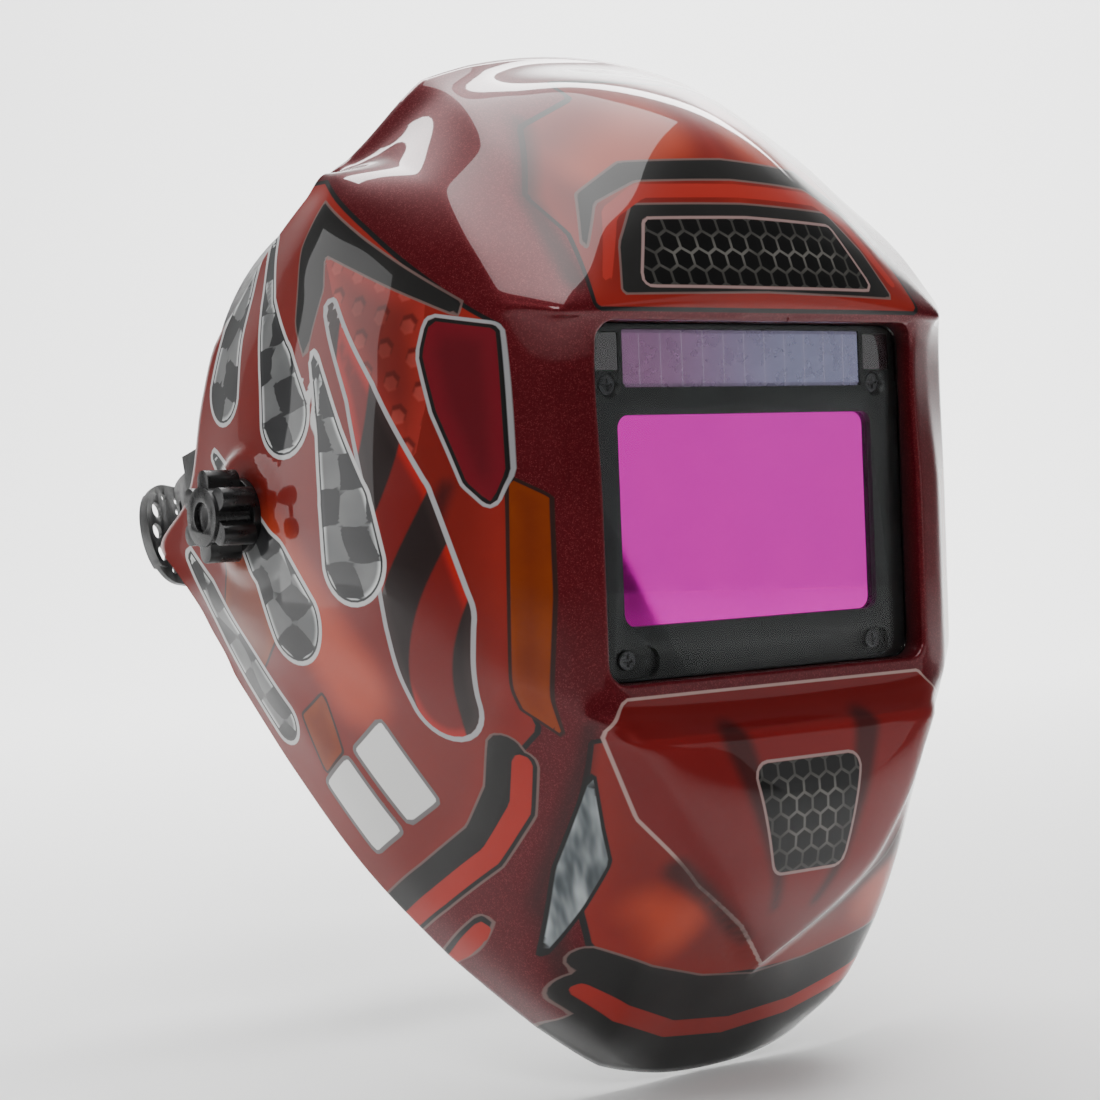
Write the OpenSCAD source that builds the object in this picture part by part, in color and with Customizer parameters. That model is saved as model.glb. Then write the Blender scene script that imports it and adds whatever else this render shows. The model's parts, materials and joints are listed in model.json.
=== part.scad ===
// Auto-darkening welding helmet: faceted shell, filter cartridge, tension knobs and ratchet headgear.
// Millimetres. Origin: middle of the pivot axis. +X wearer's left, -Y forward, +Z up.

/* [Shell] */
// Shell wall thickness
wall = 2.2; // [1.8:0.1:3]
// Distance from the pivot axis forward to the visor rim
reach = 115; // [110:1:120]
// Height of the filter lens centre below the pivot axis
lens_drop = 6; // [4:0.5:8]
// Width of the visor opening
open_w = 123.7; // [120:0.1:126]
// Height of the visor opening
open_h = 104.5; // [100:0.1:108]
// Corner radius of the visor opening
open_r = 6; // [3:0.5:9]
// Depth of the inner wall behind the visor rim
jamb = 11; // [10:0.5:12]
// Height the snout facet stands out of the chin
snout = 2.4; // [0:0.2:3]

/* [Filter cartridge] */
// Cartridge width
cart_w = 133; // [131:0.5:134]
// Cartridge height
cart_h = 114; // [112:0.5:115]
// Visible width of the darkening lens
lens_w = 100; // [96:0.5:102]
// Visible height of the darkening lens
lens_h = 61.7; // [58:0.1:63]
// Visible width of the solar cell strip
solar_w = 93.7; // [90:0.1:95]
// Visible height of the solar cell strip
solar_h = 17.1; // [15:0.1:18]

/* [Pivot] */
// Tension knob diameter over the lobes
knob_d = 28.5; // [25:0.5:30]
// Tension knob thickness
knob_t = 14.5; // [11:0.5:15]
// Pivot bolt diameter
bolt_d = 8; // [7:0.1:9]
// Radial clearance between a shaft and its bore
fit = 0.06; // [0.03:0.01:0.09]

/* [Headgear] */
// Backward tilt of the headband
tilt = 13; // [8:1:16]
// How far the middle of the headband's side sits behind the pivot
band_y = 7; // [0:0.5:10]
// Inside radius of the headband
band_r = 92.8; // [90:0.1:94]
// Height of the rear bands
strap_h = 18; // [16:0.5:19]
// Height of the front band
front_h = 26; // [22:0.5:30]
// Teeth on the ratchet pinion
pinion_n = 11; // [11:1:11]
// Pitch radius of the ratchet pinion
pinion_r = 5.5; // [5.4:0.1:5.6]
// Ratchet knob diameter
dial_d = 46; // [42:1:50]

/* [Hidden] */
$fn = 64;

// Colours
maroon = [0.42, 0.06, 0.09];
black = [0.06, 0.06, 0.065];
charcoal = [0.13, 0.13, 0.14];
steel = [0.66, 0.67, 0.69];
clear = [0.75, 0.85, 0.9, 0.35];

// ---- Shell surface: rows from chin to crown, eight points from the middle to the rear edge.
// Each point is [out, back from the rim, up from the lens centre].
chin_edge = [[0, 41, -173], [20, 40.5, -171.5], [41, 42.5, -166], [57, 52, -153],
  [75.5, 70, -131], [92, 88, -105], [103, 109, -76], [110, 134, -45]];
chin_low = [[0, 31, -158], [20, 30.5, -157.5], [46, 29, -154], [60, 38, -144.5],
  [78, 60, -122], [94, 82, -96], [105, 105, -67], [111, 138, -38]];
chin_tip = [[0, 16, -138.4], [20, 16.3, -138], [48, 16.5, -136], [62, 28.5, -128],
  [81, 53, -106], [97, 77, -82], [108, 102, -55], [112, 145, -30]];
chin_turn = [[0, -8.5, -106], [20, -8, -106], [44, -3.5, -105], [61.5, 12, -101],
  [83, 44, -88], [98.5, 70, -68], [109.5, 100, -45], [112.6, 150, -24]];
chin_front = [[0, -11.5, -82], [22, -11, -82], [47, -7.5, -81], [65, 5.5, -78],
  [85, 31, -70], [101, 61, -53], [111.5, 97, -35], [113, 157, -18]];
ledge_low = [[0, -9, -63], [30, -8.2, -62], [60, -5, -58], [74, 5, -55],
  [88, 19, -50], [103, 51, -40], [112.5, 95, -24], [113, 166, -11.5]];
ledge_up = [[0, 0, -54.5], [30, 0, -54], [61.8, 0, -52.8], [73.7, 3.45, -51.5],
  [87, 13.8, -45], [103, 47, -28], [113, 94, -12], [112, 178, -4]];
visor_mid = [[0, 0, 5.5], [30, 0, 5.5], [61.8, 0, 5.5], [73.7, 3.45, 5.5],
  [87, 13.4, 5.5], [104, 47, 7], [114, 98, 9], [111, 160, 12]];
visor_top = [[0, 0, 58], [30, 0, 58], [61.8, 0, 58], [73.7, 3.45, 58],
  [87, 13.4, 58], [104, 44, 46], [112.5, 94, 44], [110, 149, 43]];
lip_low = [[0, -2.5, 61.5], [30, -2.3, 61], [61.8, -0.8, 59.6], [74.6, 0.6, 59],
  [88, 14, 63.8], [104, 46, 62], [111.5, 90, 60], [109, 141, 60]];
lip_up = [[0, -3.5, 64.6], [30, -3.2, 64], [61.8, -1.2, 62], [73.9, 0.2, 61.2],
  [87, 15.5, 66.8], [102, 46, 70], [109.5, 86, 71], [107, 127, 73]];
dome_1 = [[0, 8, 93], [28, 10, 92], [52, 14, 88], [66.5, 18, 83],
  [86, 28, 82], [98, 50, 84], [106.5, 79, 85], [105, 110, 88]];
dome_2 = [[0, 27, 120], [26, 30, 118], [48, 37, 112.5], [62.5, 45.4, 111.5],
  [82, 50, 101], [92, 62, 100], [99.5, 79, 100], [99, 97, 102]];
dome_3 = [[0, 52, 137], [24, 54, 135.5], [44, 60, 131], [60, 65, 126],
  [81, 70, 110.5], [88, 77, 109.5], [92.5, 84, 109], [94, 92, 109.5]];
crown = [[0, 80, 146], [24, 80.5, 144.8], [43, 81, 141.5], [58.5, 83, 136.6],
  [80, 86, 116], [86, 88, 112], [89, 89, 110.5], [91.5, 90.5, 109]];
rim = [[0, 86, 150.5], [24, 86.5, 149], [43.5, 87, 145.4], [60, 89, 140],
  [82, 91, 118.5], [87.5, 92, 113.5], [90.5, 92.5, 111.5], [93, 93, 109.5]];
net = [chin_edge, chin_low, chin_tip, chin_turn, chin_front, ledge_low, ledge_up, visor_mid,
  visor_top, lip_low, lip_up, dome_1, dome_2, dome_3, crown, rim];
// Sharpness of each row (1 is a crease) and how far across the shell the crease reaches
row_sharp = [0, 0, 0, 0.5, 0, 1, 1, 0, 0.6, 1, 1, 0, 0, 0, 0.8, 0];
// Sharpness of each column: the box corner and the cheek edge are creases
col_sharp = [0, 0, 0.7, 1, 1, 0, 0, 0];
col_fade = [0.6, 0.7, 0.8, 0.9, 1, 1, 1, 1, 1, 1, 1, 1, 1, 1, 0.7, 0.6];
row_steps = [3, 3, 4, 3, 3, 1, 5, 4, 1, 1, 4, 4, 3, 3, 1];
col_steps = [3, 3, 2, 2, 4, 4, 4];

// Tangent at knot i of a curve; side -1 looks back, 1 looks ahead, s is the sharpness there
function gap(p, i) = max(norm(p[i + 1] - p[i]), 0.001);
function ahead(p, i) = (p[i + 1] - p[i]) / gap(p, i);
function smooth(p, i) = (ahead(p, i) * gap(p, i - 1) + ahead(p, i - 1) * gap(p, i))
  / (gap(p, i) + gap(p, i - 1));
function tangent(p, i, side, s) =
  i == 0 ? ahead(p, 0)
  : i == len(p) - 1 ? ahead(p, i - 1)
  : smooth(p, i) * (1 - s) + (side < 0 ? ahead(p, i - 1) : ahead(p, i)) * s;
function hermite(p, i, t, s0, s1) = let (d = gap(p, i))
  p[i] * (2*t*t*t - 3*t*t + 1) + p[i + 1] * (3*t*t - 2*t*t*t)
  + tangent(p, i, 1, s0) * d * (t*t*t - 2*t*t + t)
  + tangent(p, i + 1, -1, s1) * d * (t*t*t - t*t);
function curve(p, sharp, steps) = [
  for (i = [0:len(p) - 2]) for (k = [0:steps[i] - 1])
    hermite(p, i, k / steps[i], sharp[i], sharp[i + 1]),
  p[len(p) - 1]];
// Chin-to-crown curve of one column, creases fading towards the ears
function reach_of(c) = c < 5 ? 1 : 0;
function column(c) = curve([for (r = net) r[c]], [for (s = row_sharp) s * reach_of(c)], row_steps);
columns = [for (c = [0:7]) column(c)];
fade = curve([for (f = col_fade) [f, 0, 0]], [for (f = col_fade) 1], row_steps);
rows_n = len(columns[0]);
// Snout facet: a downward arrow standing proud of the chin
function proud(x, z) = z < -139 || z > -60 ? 0
  : let (half = 66 * pow((z + 139) / 79, 0.8), d = min(half - abs(x), -60 - z))
    snout * max(0, min(1, d / 5));
function place(q) = [q[0], q[1] - reach - proud(q[0], q[2]), q[2] - lens_drop];
// Half row from the middle out, then mirrored so a full row runs right edge to left edge
function half_row(r) = let (pts = [for (c = [0:7]) columns[c][r]],
  full = concat([[-pts[1][0], pts[1][1], pts[1][2]]], pts),
  c = curve(full, concat([0], [for (s = col_sharp) s * fade[r][0]]), concat([1], col_steps)))
  [for (i = [1:len(c) - 1]) place(c[i])];
function full_row(h) = [for (i = [len(h) - 1:-1:1]) [-h[i][0], h[i][1], h[i][2]], for (p = h) p];
skin = [for (r = [0:rows_n - 1]) full_row(half_row(r))];
cols_n = len(skin[0]);
function unit(v) = v / norm(v);
function at_edge(i, n) = max(0, min(n - 1, i));
function normal(r, c) = unit(cross(
  skin[at_edge(r + 1, rows_n)][c] - skin[at_edge(r - 1, rows_n)][c],
  skin[r][at_edge(c + 1, cols_n)] - skin[r][at_edge(c - 1, cols_n)]));
lining = [for (r = [0:rows_n - 1]) [for (c = [0:cols_n - 1]) skin[r][c] + normal(r, c) * wall]];

module shell_skin() {
  n = rows_n * cols_n;
  verts = concat([for (r = skin) each r], [for (r = lining) each r]);
  function id(r, c) = r * cols_n + c;
  faces = concat(
    [for (r = [0:rows_n - 2]) for (c = [0:cols_n - 2]) each
      [[id(r, c), id(r + 1, c), id(r + 1, c + 1)], [id(r, c), id(r + 1, c + 1), id(r, c + 1)]]],
    [for (r = [0:rows_n - 2]) for (c = [0:cols_n - 2]) each
      [[n + id(r, c), n + id(r + 1, c + 1), n + id(r + 1, c)],
       [n + id(r, c), n + id(r, c + 1), n + id(r + 1, c + 1)]]],
    [for (r = [0:rows_n - 2]) each
      [[id(r, 0), n + id(r, 0), n + id(r + 1, 0)], [id(r, 0), n + id(r + 1, 0), id(r + 1, 0)]]],
    [for (r = [0:rows_n - 2]) let (c = cols_n - 1) each
      [[id(r, c), n + id(r + 1, c), n + id(r, c)], [id(r, c), id(r + 1, c), n + id(r + 1, c)]]],
    [for (c = [0:cols_n - 2]) each
      [[id(0, c), n + id(0, c + 1), n + id(0, c)], [id(0, c), id(0, c + 1), n + id(0, c + 1)]]],
    [for (c = [0:cols_n - 2]) let (r = rows_n - 1) each
      [[id(r, c), n + id(r, c), n + id(r, c + 1)], [id(r, c), n + id(r, c + 1), id(r, c + 1)]]]);
  polyhedron(verts, faces, convexity = 8);
}

// ---- Small shape helpers
module rounded(w, h, r) {
  union() {
    square([w - 2 * r, h], center = true);
    square([w, h - 2 * r], center = true);
    for (x = [-1, 1]) for (z = [-1, 1]) translate([x * (w / 2 - r), z * (h / 2 - r)]) circle(r);
  }
}
// Plate in the XZ plane from y0 back to y1
module slab(w, h, r, y0, y1, z = 0, x = 0) {
  translate([x, y1, z]) rotate([90, 0, 0]) linear_extrude(y1 - y0) rounded(w, h, r);
}
// Cylinder along Y from y0 to y1
module ypin(r, y0, y1, x = 0, z = 0) {
  translate([x, y1, z]) rotate([90, 0, 0]) cylinder(h = y1 - y0, r = r);
}
// Cylinder along X from x0 to x1
module xpin(r, x0, x1, y = 0, z = 0) {
  translate([x0, y, z]) rotate([0, 90, 0]) cylinder(h = x1 - x0, r = r);
}
module block(x0, x1, y0, y1, z0, z1) {
  translate([x0, y0, z0]) cube([x1 - x0, y1 - y0, z1 - z0]);
}
module flip_x() {
  mirror([1, 0, 0]) children();
}

// ---- Filter cartridge positions
open_z = 5.46 - lens_drop;
lens_z = -lens_drop;
solar_z = 47.4 - lens_drop;
face_y = -106.3;
seat_y = -103.9;
sensor_x = 53.8;
sensor_z = solar_z + 2;
cell_x = 40;
cell_z = 41.5;
screw_at = [[52.45, 39.8 - lens_drop], [48.7, -40.5 - lens_drop]];
boss_at = [[74, 41], [74, -41]];
control_z = -49.3;
knob_x = [-42.6, -18, 8];
knob_r = 5.5;
switch_x = 30;
test_x = 42.6;

module shell() {
  color(maroon)
  difference() {
    union() {
      shell_skin();
      slab(open_w + 4, open_h + 4, open_r + 2, -reach + 0.4, -reach + jamb, open_z);
      for (s = [-1, 1]) for (p = boss_at) ypin(3.6, -106.6, -100, s * p[0], p[1]);
      xpin(18, shell_in, shell_out);
      xpin(18, -shell_out, -shell_in);
      for (s = [-1, 1]) block(s * 109.6 - 2, s * 109.6 + 2, -31, -27, 14, 22);
    }
    slab(open_w, open_h, open_r, -reach - 6, -reach + jamb + 6, open_z);
    for (s = [-1, 1]) for (p = boss_at) ypin(1.3, -105, -99, s * p[0], p[1]);
    xpin(bolt_d / 2 + fit, -120, 120);
  }
}

module front_cover_lens() {
  color(clear) slab(open_w - 0.8, open_h - 0.8, open_r - 0.4, face_y - 1.3, face_y - 0.3, open_z);
}

module filter_front_housing() {
  color(black)
  difference() {
    union() {
      difference() {
        union() {
          slab(cart_w, cart_h, 4, seat_y, -97, open_z);
          slab(open_w - 0.6, open_h - 0.6, open_r - 0.3, face_y, seat_y + 0.5, open_z);
        }
        // hollow back
        slab(cart_w - 4, cart_h - 4, 3, seat_y + 2, -96, open_z);
        slab(open_w - 5, open_h - 12, 3, face_y + 2, seat_y + 3, open_z + 4.8);
      }
      // posts round the screws
      for (s = [-1, 1]) for (p = screw_at) ypin(3.8, face_y + 1, -100, s * p[0], p[1]);
    }
    // windows
    slab(lens_w, lens_h, 4, face_y - 1, -96, lens_z);
    slab(solar_w, solar_h, 0.8, face_y - 1, -96, solar_z);
    for (s = [-1, 1]) slab(10.8, 11.4, 0.8, face_y - 1, face_y + 3, sensor_z, s * sensor_x);
    // step along the top and sloped ledge along the bottom
    block(-70, 70, face_y - 1, face_y + 0.6, 34, 60);
    translate([0, face_y, -44]) rotate([-16, 0, 0]) block(-70, 70, -6, 0, -20, 0);
    // screw pockets: cones at the top, wide scoops at the bottom
    for (s = [-1, 1]) {
      translate([s * screw_at[0][0], face_y - 0.05, screw_at[0][1]]) rotate([-90, 0, 0])
        cylinder(h = 1.3, r1 = 4.2, r2 = 3.1);
      slab(16.5, 8.8, 4.2, face_y - 1, face_y + 2, -47.1, s * 46);
    }
    for (s = [-1, 1]) for (p = screw_at) {
      ypin(3.1, face_y, face_y + 3, s * p[0], p[1]);
      ypin(1.65, face_y - 1, -96, s * p[0], p[1]);
    }
  }
}

module filter_glass() {
  color([0.85, 0.15, 0.62]) slab(lens_w + 6, lens_h + 5, 1, face_y + 2.05, face_y + 3.25, lens_z);
}

module lcd_cell() {
  color([0.16, 0.2, 0.16]) slab(lens_w + 5, lens_h + 4, 1, -102.6, -98.8, lens_z);
}

module solar_panel() {
  color([0.3, 0.26, 0.4])
  union() {
    slab(solar_w - 0.4, solar_h - 0.4, 0.6, face_y + 1, face_y + 2.1, solar_z);
    slab(solar_w + 3, solar_h + 0.8, 0.6, face_y + 2.05, face_y + 3, solar_z);
  }
}

module arc_sensor(s) {
  color([0.09, 0.03, 0.05]) slab(10.4, 11, 0.6, face_y + 0.8, face_y + 3.4, sensor_z, s * sensor_x);
}
module left_arc_sensor() { arc_sensor(1); }
module right_arc_sensor() { arc_sensor(-1); }

module circuit_board() {
  color([0.05, 0.3, 0.14])
  union() {
    difference() {
      slab(122, 20, 1, -99.4, -97.8, 42);
      for (s = [-1, 1]) ypin(2, -100, -97, s * screw_at[0][0], screw_at[0][1]);
    }
    slab(14, 10, 0.5, -97.9, -96.2, 42, -14);
    slab(8, 8, 0.5, -97.9, -96.6, 42, 8);
    slab(5, 12, 0.5, -97.9, -95.8, 42, 24);
    ypin(2.4, -97.9, -93.5, -26, 45);
  }
}

module control_board() {
  color([0.05, 0.3, 0.14])
  union() {
    difference() {
      slab(118, 11, 1, -98.6, -97, control_z);
      for (s = [-1, 1]) ypin(2, -99, -96, s * screw_at[1][0], screw_at[1][1]);
    }
    for (x = knob_x) slab(6.4, 9, 0.5, -97.1, -94.4, control_z, x);
    for (x = [switch_x, test_x]) slab(7, 7, 0.5, -97.1, -95, control_z, x);
  }
}

module coin_cells() {
  color(steel)
  for (s = [-1, 1]) union() {
    ypin(10, -96.6, -94.2, s * cell_x, cell_z);
    ypin(8.6, -94.3, -93.4, s * cell_x, cell_z);
  }
}

module battery_cap(s) {
  color(charcoal)
  difference() {
    union() {
      ypin(11.2, -92.4, -87.8, s * cell_x, cell_z);
      ypin(12, -87.8, -86.4, s * cell_x, cell_z);
    }
    block(s * cell_x - 7, s * cell_x + 7, -87.4, -86, cell_z - 0.9, cell_z + 0.9);
  }
}
module left_battery_cap() { battery_cap(1); }
module right_battery_cap() { battery_cap(-1); }

module filter_rear_housing() {
  color(charcoal)
  difference() {
    union() {
      slab(cart_w, cart_h, 4, -96.9, -88, open_z);
      // rails that hold the inner cover lens
      block(-56.5, 56.5, -88.1, -85.6, lens_z - 36, lens_z - 33.2);
      for (s = [-1, 1]) block(s * 55.1 - 1.4, s * 55.1 + 1.4, -88.1, -85.6, lens_z - 36, lens_z + 34);
      for (s = [-1, 1]) block(s * 52.8 - 3.7, s * 52.8 + 3.7, -86.5, -85.6, lens_z - 36, lens_z + 34);
    }
    slab(cart_w - 4, cart_h - 4, 3, -98, -90, open_z);
    slab(lens_w, lens_h, 3, -98, -84, lens_z);
    for (s = [-1, 1]) ypin(11.2 + fit, -92, -87, s * cell_x, cell_z);
    for (x = knob_x) ypin(3 + fit, -92, -87, x, control_z);
    ypin(2.5 + fit, -92, -87, test_x, control_z);
    block(switch_x - 2, switch_x + 6, -92, -87, control_z - 1.6, control_z + 1.6);
    for (s = [-1, 1]) for (p = screw_at) ypin(1.2, -97, -91, s * p[0], p[1]);
  }
}

module inner_cover_lens() {
  color(clear) slab(106.6, 68, 1, -87.9, -86.9, lens_z + 1);
}

module filter_screws() {
  color(steel)
  for (s = [-1, 1]) for (p = screw_at) difference() {
    union() {
      ypin(2.9, face_y + 1.2, face_y + 2.9, s * p[0], p[1]);
      ypin(1.55, face_y + 2.8, -92.5, s * p[0], p[1]);
    }
    block(s * p[0] - 1.8, s * p[0] + 1.8, face_y + 1, face_y + 1.9, p[1] - 0.4, p[1] + 0.4);
    block(s * p[0] - 0.4, s * p[0] + 0.4, face_y + 1, face_y + 1.9, p[1] - 1.8, p[1] + 1.8);
  }
}

module retaining_frame() {
  color(black)
  difference() {
    union() {
      slab(cart_w + 4.6, cart_h + 4.6, 6, -102.5, -85.8, open_z);
      for (s = [-1, 1]) for (p = boss_at)
        block(min(s * 62, s * 78), max(s * 62, s * 78), -99.9, -97.4, p[1] - 6, p[1] + 6);
    }
    slab(cart_w + 0.4, cart_h + 0.4, 4.2, -104, -87.8, open_z);
    slab(cart_w - 5, cart_h - 5, 3, -104, -85, open_z);
    for (s = [-1, 1]) for (p = boss_at) ypin(1.7, -101, -96, s * p[0], p[1]);
  }
}

module retainer_screws() {
  color(steel)
  for (s = [-1, 1]) for (p = boss_at) difference() {
    union() {
      ypin(1.25, -104.5, -97.2, s * p[0], p[1]);
      ypin(3, -97.3, -95.2, s * p[0], p[1]);
    }
    block(s * p[0] - 1.9, s * p[0] + 1.9, -96.1, -95, p[1] - 0.4, p[1] + 0.4);
    block(s * p[0] - 0.4, s * p[0] + 0.4, -96.1, -95, p[1] - 1.9, p[1] + 1.9);
  }
}

module control_knob(x, r) {
  color(charcoal)
  difference() {
    union() {
      ypin(3, -93.6, -87.5, x, control_z);
      ypin(r, -87.6, -83, x, control_z);
    }
    for (k = [0:11]) translate([x, 0, control_z]) rotate([0, 30 * k + 15, 0]) ypin(0.7, -88, -82, r, 0);
    block(x - 0.5, x + 0.5, -83.6, -82, control_z, control_z + r + 1);
  }
}
module shade_knob() { control_knob(knob_x[0], knob_r); }
module sensitivity_knob() { control_knob(knob_x[1], knob_r); }
module delay_knob() { control_knob(knob_x[2], knob_r); }

module test_button() {
  color([0.75, 0.1, 0.1])
  union() {
    ypin(2.5, -91.8, -85.6, test_x, control_z);
    ypin(3.6, -91.8, -90.6, test_x, control_z);
  }
}

module mode_switch() {
  color(charcoal)
  union() {
    block(switch_x - 3.6, switch_x + 3.6, -91.8, -90.3, control_z - 2.6, control_z + 2.6);
    block(switch_x - 1.6, switch_x + 1.4, -90.4, -85.8, control_z - 1.3, control_z + 1.3);
  }
}

// ---- Pivots, drawn on the left side and mirrored to the right
shell_in = 109;
shell_out = 115.2;
lobe_r = 3.5;
module tension_knob() {
  color(black)
  difference() {
    union() {
      xpin(11.5, shell_out + 0.1, shell_out + 2.6);
      xpin(knob_d / 2 - 5, shell_out + 2.5, shell_out + knob_t);
      for (k = [0:5]) rotate([60 * k, 0, 0])
        block(shell_out + 2.5, shell_out + knob_t - 1, -lobe_r, lobe_r, 0, knob_d / 2 - lobe_r);
      for (k = [0:5]) rotate([60 * k, 0, 0])
        xpin(lobe_r, shell_out + 2.5, shell_out + knob_t - 1, 0, knob_d / 2 - lobe_r);
    }
    xpin(6.5, shell_out - 1, shell_out + 9.5);
    xpin(4.6, shell_out + knob_t - 1.4, shell_out + knob_t + 1);
  }
}
module left_tension_knob() { tension_knob(); }
module right_tension_knob() { flip_x() tension_knob(); }

module knob_nut() {
  color([0.72, 0.56, 0.25])
  difference() {
    xpin(6.4, shell_out + 0.2, shell_out + 9.3);
    xpin(bolt_d / 2 + fit, shell_out - 1, shell_out + 10);
  }
}
module left_knob_nut() { knob_nut(); }
module right_knob_nut() { flip_x() knob_nut(); }

module pivot_bolt() {
  color(charcoal)
  union() {
    xpin(bolt_d / 2, 100, shell_out + 8.6);
    xpin(9, 98.4, 101.1);
    block(101, 104.9, -4.6, 4.6, -4.6, 4.6);
  }
}
module left_pivot_bolt() { pivot_bolt(); }
module right_pivot_bolt() { flip_x() pivot_bolt(); }

module friction_washer() {
  color([0.2, 0.2, 0.21])
  difference() {
    xpin(14, 107.5, 108.9);
    xpin(bolt_d / 2 + 0.1, 107, 109.5);
  }
}
module left_friction_washer() { friction_washer(); }
module right_friction_washer() { flip_x() friction_washer(); }

module tilt_stop() {
  color(charcoal)
  difference() {
    union() {
      xpin(15, 105.1, 107.3);
      rotate([-18, 0, 0]) block(105.1, 107.3, -37, 0, -5, 5);
      rotate([-18, 0, 0]) xpin(2.4, 107, 109, -34.2, 0);
    }
    xpin(bolt_d / 2 + 0.1, 104, 109);
    for (a = [0:2]) rotate([60 + 22 * a, 0, 0]) xpin(1.8, 104, 109, 0, 11);
  }
}
module left_tilt_stop() { tilt_stop(); }
module right_tilt_stop() { flip_x() tilt_stop(); }

module side_arm() {
  color(black)
  difference() {
    union() {
      xpin(17, 102.4, 104.9);
      block(102.4, 104.9, band_y - 13, band_y + 13, 0, 34);
      block(95.2, 102.5, band_y - 12, band_y + 12, 17, 33);
    }
    block(101, 106, -4.7, 4.7, -4.7, 4.7);
    for (s = [-1, 1]) xpin(2.5, 90, 110, band_y + s * 7.5, 25);
  }
}
module left_side_arm() { side_arm(); }
module right_side_arm() { flip_x() side_arm(); }

module arm_rivets() {
  color(steel)
  for (m = [0, 1]) mirror([m, 0, 0]) for (r = [[-7.5, 87], [7.5, 91.2]]) union() {
    xpin(2.45, r[1] - 0.1, 105, band_y + r[0], 25);
    xpin(4, r[1] - 1.2, r[1], band_y + r[0], 25);
    xpin(4, 104.95, 106, band_y + r[0], 25);
  }
}

// ---- Headgear, drawn in the plane of the headband
band_z = 23.4;
ring_y = 60;
nose_y = 20;
module headband_plane() {
  translate([0, band_y, band_z]) rotate([-tilt, 0, 0]) children();
}
// Ring sector about the vertical axis, a0..a1 degrees measured from straight back
module sector(r0, r1, a0, a1, h, cy) {
  translate([0, cy, -h / 2]) rotate([0, 0, 90 + a0])
    rotate_extrude(angle = a1 - a0) translate([r0, 0]) square([r1 - r0, h]);
}
module front_band() {
  color(black)
  headband_plane() difference() {
    union() {
      sector(band_r, band_r + 1.8, 90, 270, front_h, nose_y);
      for (s = [-1, 1]) {
        block(s * (band_r + 0.9) - 0.9, s * (band_r + 0.9) + 0.9, nose_y, 70, -front_h / 2, front_h / 2);
        // loop that guides the end of the rear band
        block(s * 91 - 3.6, s * 91 + 3.6, 58, 66, -12.4, -9.6);
        block(s * 91 - 3.6, s * 91 + 3.6, 58, 66, 9.6, 12.4);
        block(s * 87.6 - 0.9, s * 87.6 + 0.9, 58, 66, -12.4, 12.4);
      }
    }
    for (a = [100:20:260]) translate([0, nose_y, 0]) rotate([0, 0, 90 + a]) block(80, 100, -5, 5, -2.2, 2.2);
    xpin(2.1, -99, 99, strap_y, 6);
    rotate([tilt, 0, 0]) translate([0, -band_y, -band_z])
      for (s = [-1, 1]) xpin(2.5, -99, 99, band_y + s * 7.5, 25);
  }
}

module sweatband() {
  color([0.16, 0.16, 0.17])
  headband_plane() sector(band_r - 6.4, band_r - 0.4, 122, 238, 34, nose_y);
}

// Rear band: overlaps its partner inside the ratchet housing, teeth on one edge of the slot
module rear_band(r0, side) {
  r1 = r0 + 1.3;
  rm = r0 + 0.65;
  // the odd pinion points a tooth up and a gap down
  phase = side > 0 ? 0 : 0.5;
  step = 360 / (2 * PI * rm / (2 * PI * pinion_r / pinion_n));
  headband_plane() union() {
    difference() {
      sector(r0, r1, side > 0 ? -96 : -20, side > 0 ? 20 : 96, strap_h, ring_y);
      translate([0, ring_y, 0]) rotate([0, 0, 77])
        rotate_extrude(angle = 26) translate([r0 - 1, -7]) square([4, 14]);
      for (a = [30:14:72]) translate([0, ring_y, 0]) rotate([0, 0, 90 - side * a]) xpin(2.2, r0 - 2, r0 + 4);
    }
    for (k = [-6:6]) translate([0, ring_y, 0]) rotate([0, 0, 90 + step * (k + phase)]) tooth(r0, r1, side);
  }
}
// One rack tooth pointing at the pinion; upper edge on the right band, lower edge on the left band
module tooth(r0, r1, side) {
  translate([r0, 0, 0]) rotate([0, 90, 0]) linear_extrude(r1 - r0)
    polygon([[side * 7.1, -0.95], [side * 4.95, -0.45], [side * 4.95, 0.45], [side * 7.1, 0.95]]);
}
module left_rear_band() { color(black) rear_band(89.4, 1); }
module right_rear_band() { color(black) rear_band(91.2, -1); }

plate_r = 125;
plate_y = 28.6;
module back_plate() {
  color(black)
  headband_plane() difference() {
    union() {
      intersection() {
        sector(plate_r, plate_r + 2.2, -50, 50, 40, plate_y);
        slab(174, 37, 18, 100, 170);
      }
      // raised lip round each end
      intersection() {
        sector(plate_r - 1.4, plate_r + 3.4, -50, 50, 27, plate_y);
        difference() {
          slab(174, 37, 18, 100, 170);
          slab(168.6, 31.6, 15.3, 99, 171);
        }
      }
    }
    slab(67, 31, 3, 120, 180);
    for (s = [-1, 1]) {
      for (z = [-8, 0, 8]) ypin(2.8, 100, 160, s * (79 - abs(z) / 5), z);
      for (z = [-13.6, 13.6]) ypin(1.4, 100, 160, s * 71.5, z);
      for (z = [-13, -9, 9, 13]) slab(9, 2.2, 0.9, 100, 160, z, s * 61);
      slab(14, 4.4, 2.1, 100, 160, 0, s * 60);
    }
  }
}

module back_pad() {
  color([0.16, 0.16, 0.17])
  headband_plane() sector(80.6, 86.4, -32, 32, 30, ring_y);
}

module ratchet_housing() {
  color(black)
  headband_plane() difference() {
    slab(64, 30, 6, 146.6, 163.2, 0);
    sector(89, 92.9, -40, 40, strap_h + 0.8, ring_y);
    ypin(6.9, 149, 157, 0, 0);
    ypin(3.5 + fit, 150, 165, 0, 0);
    for (s = [-1, 1]) for (z = [-11.5, 11.5]) ypin(1.4, 150, 164, s * 27, z);
  }
}

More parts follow.
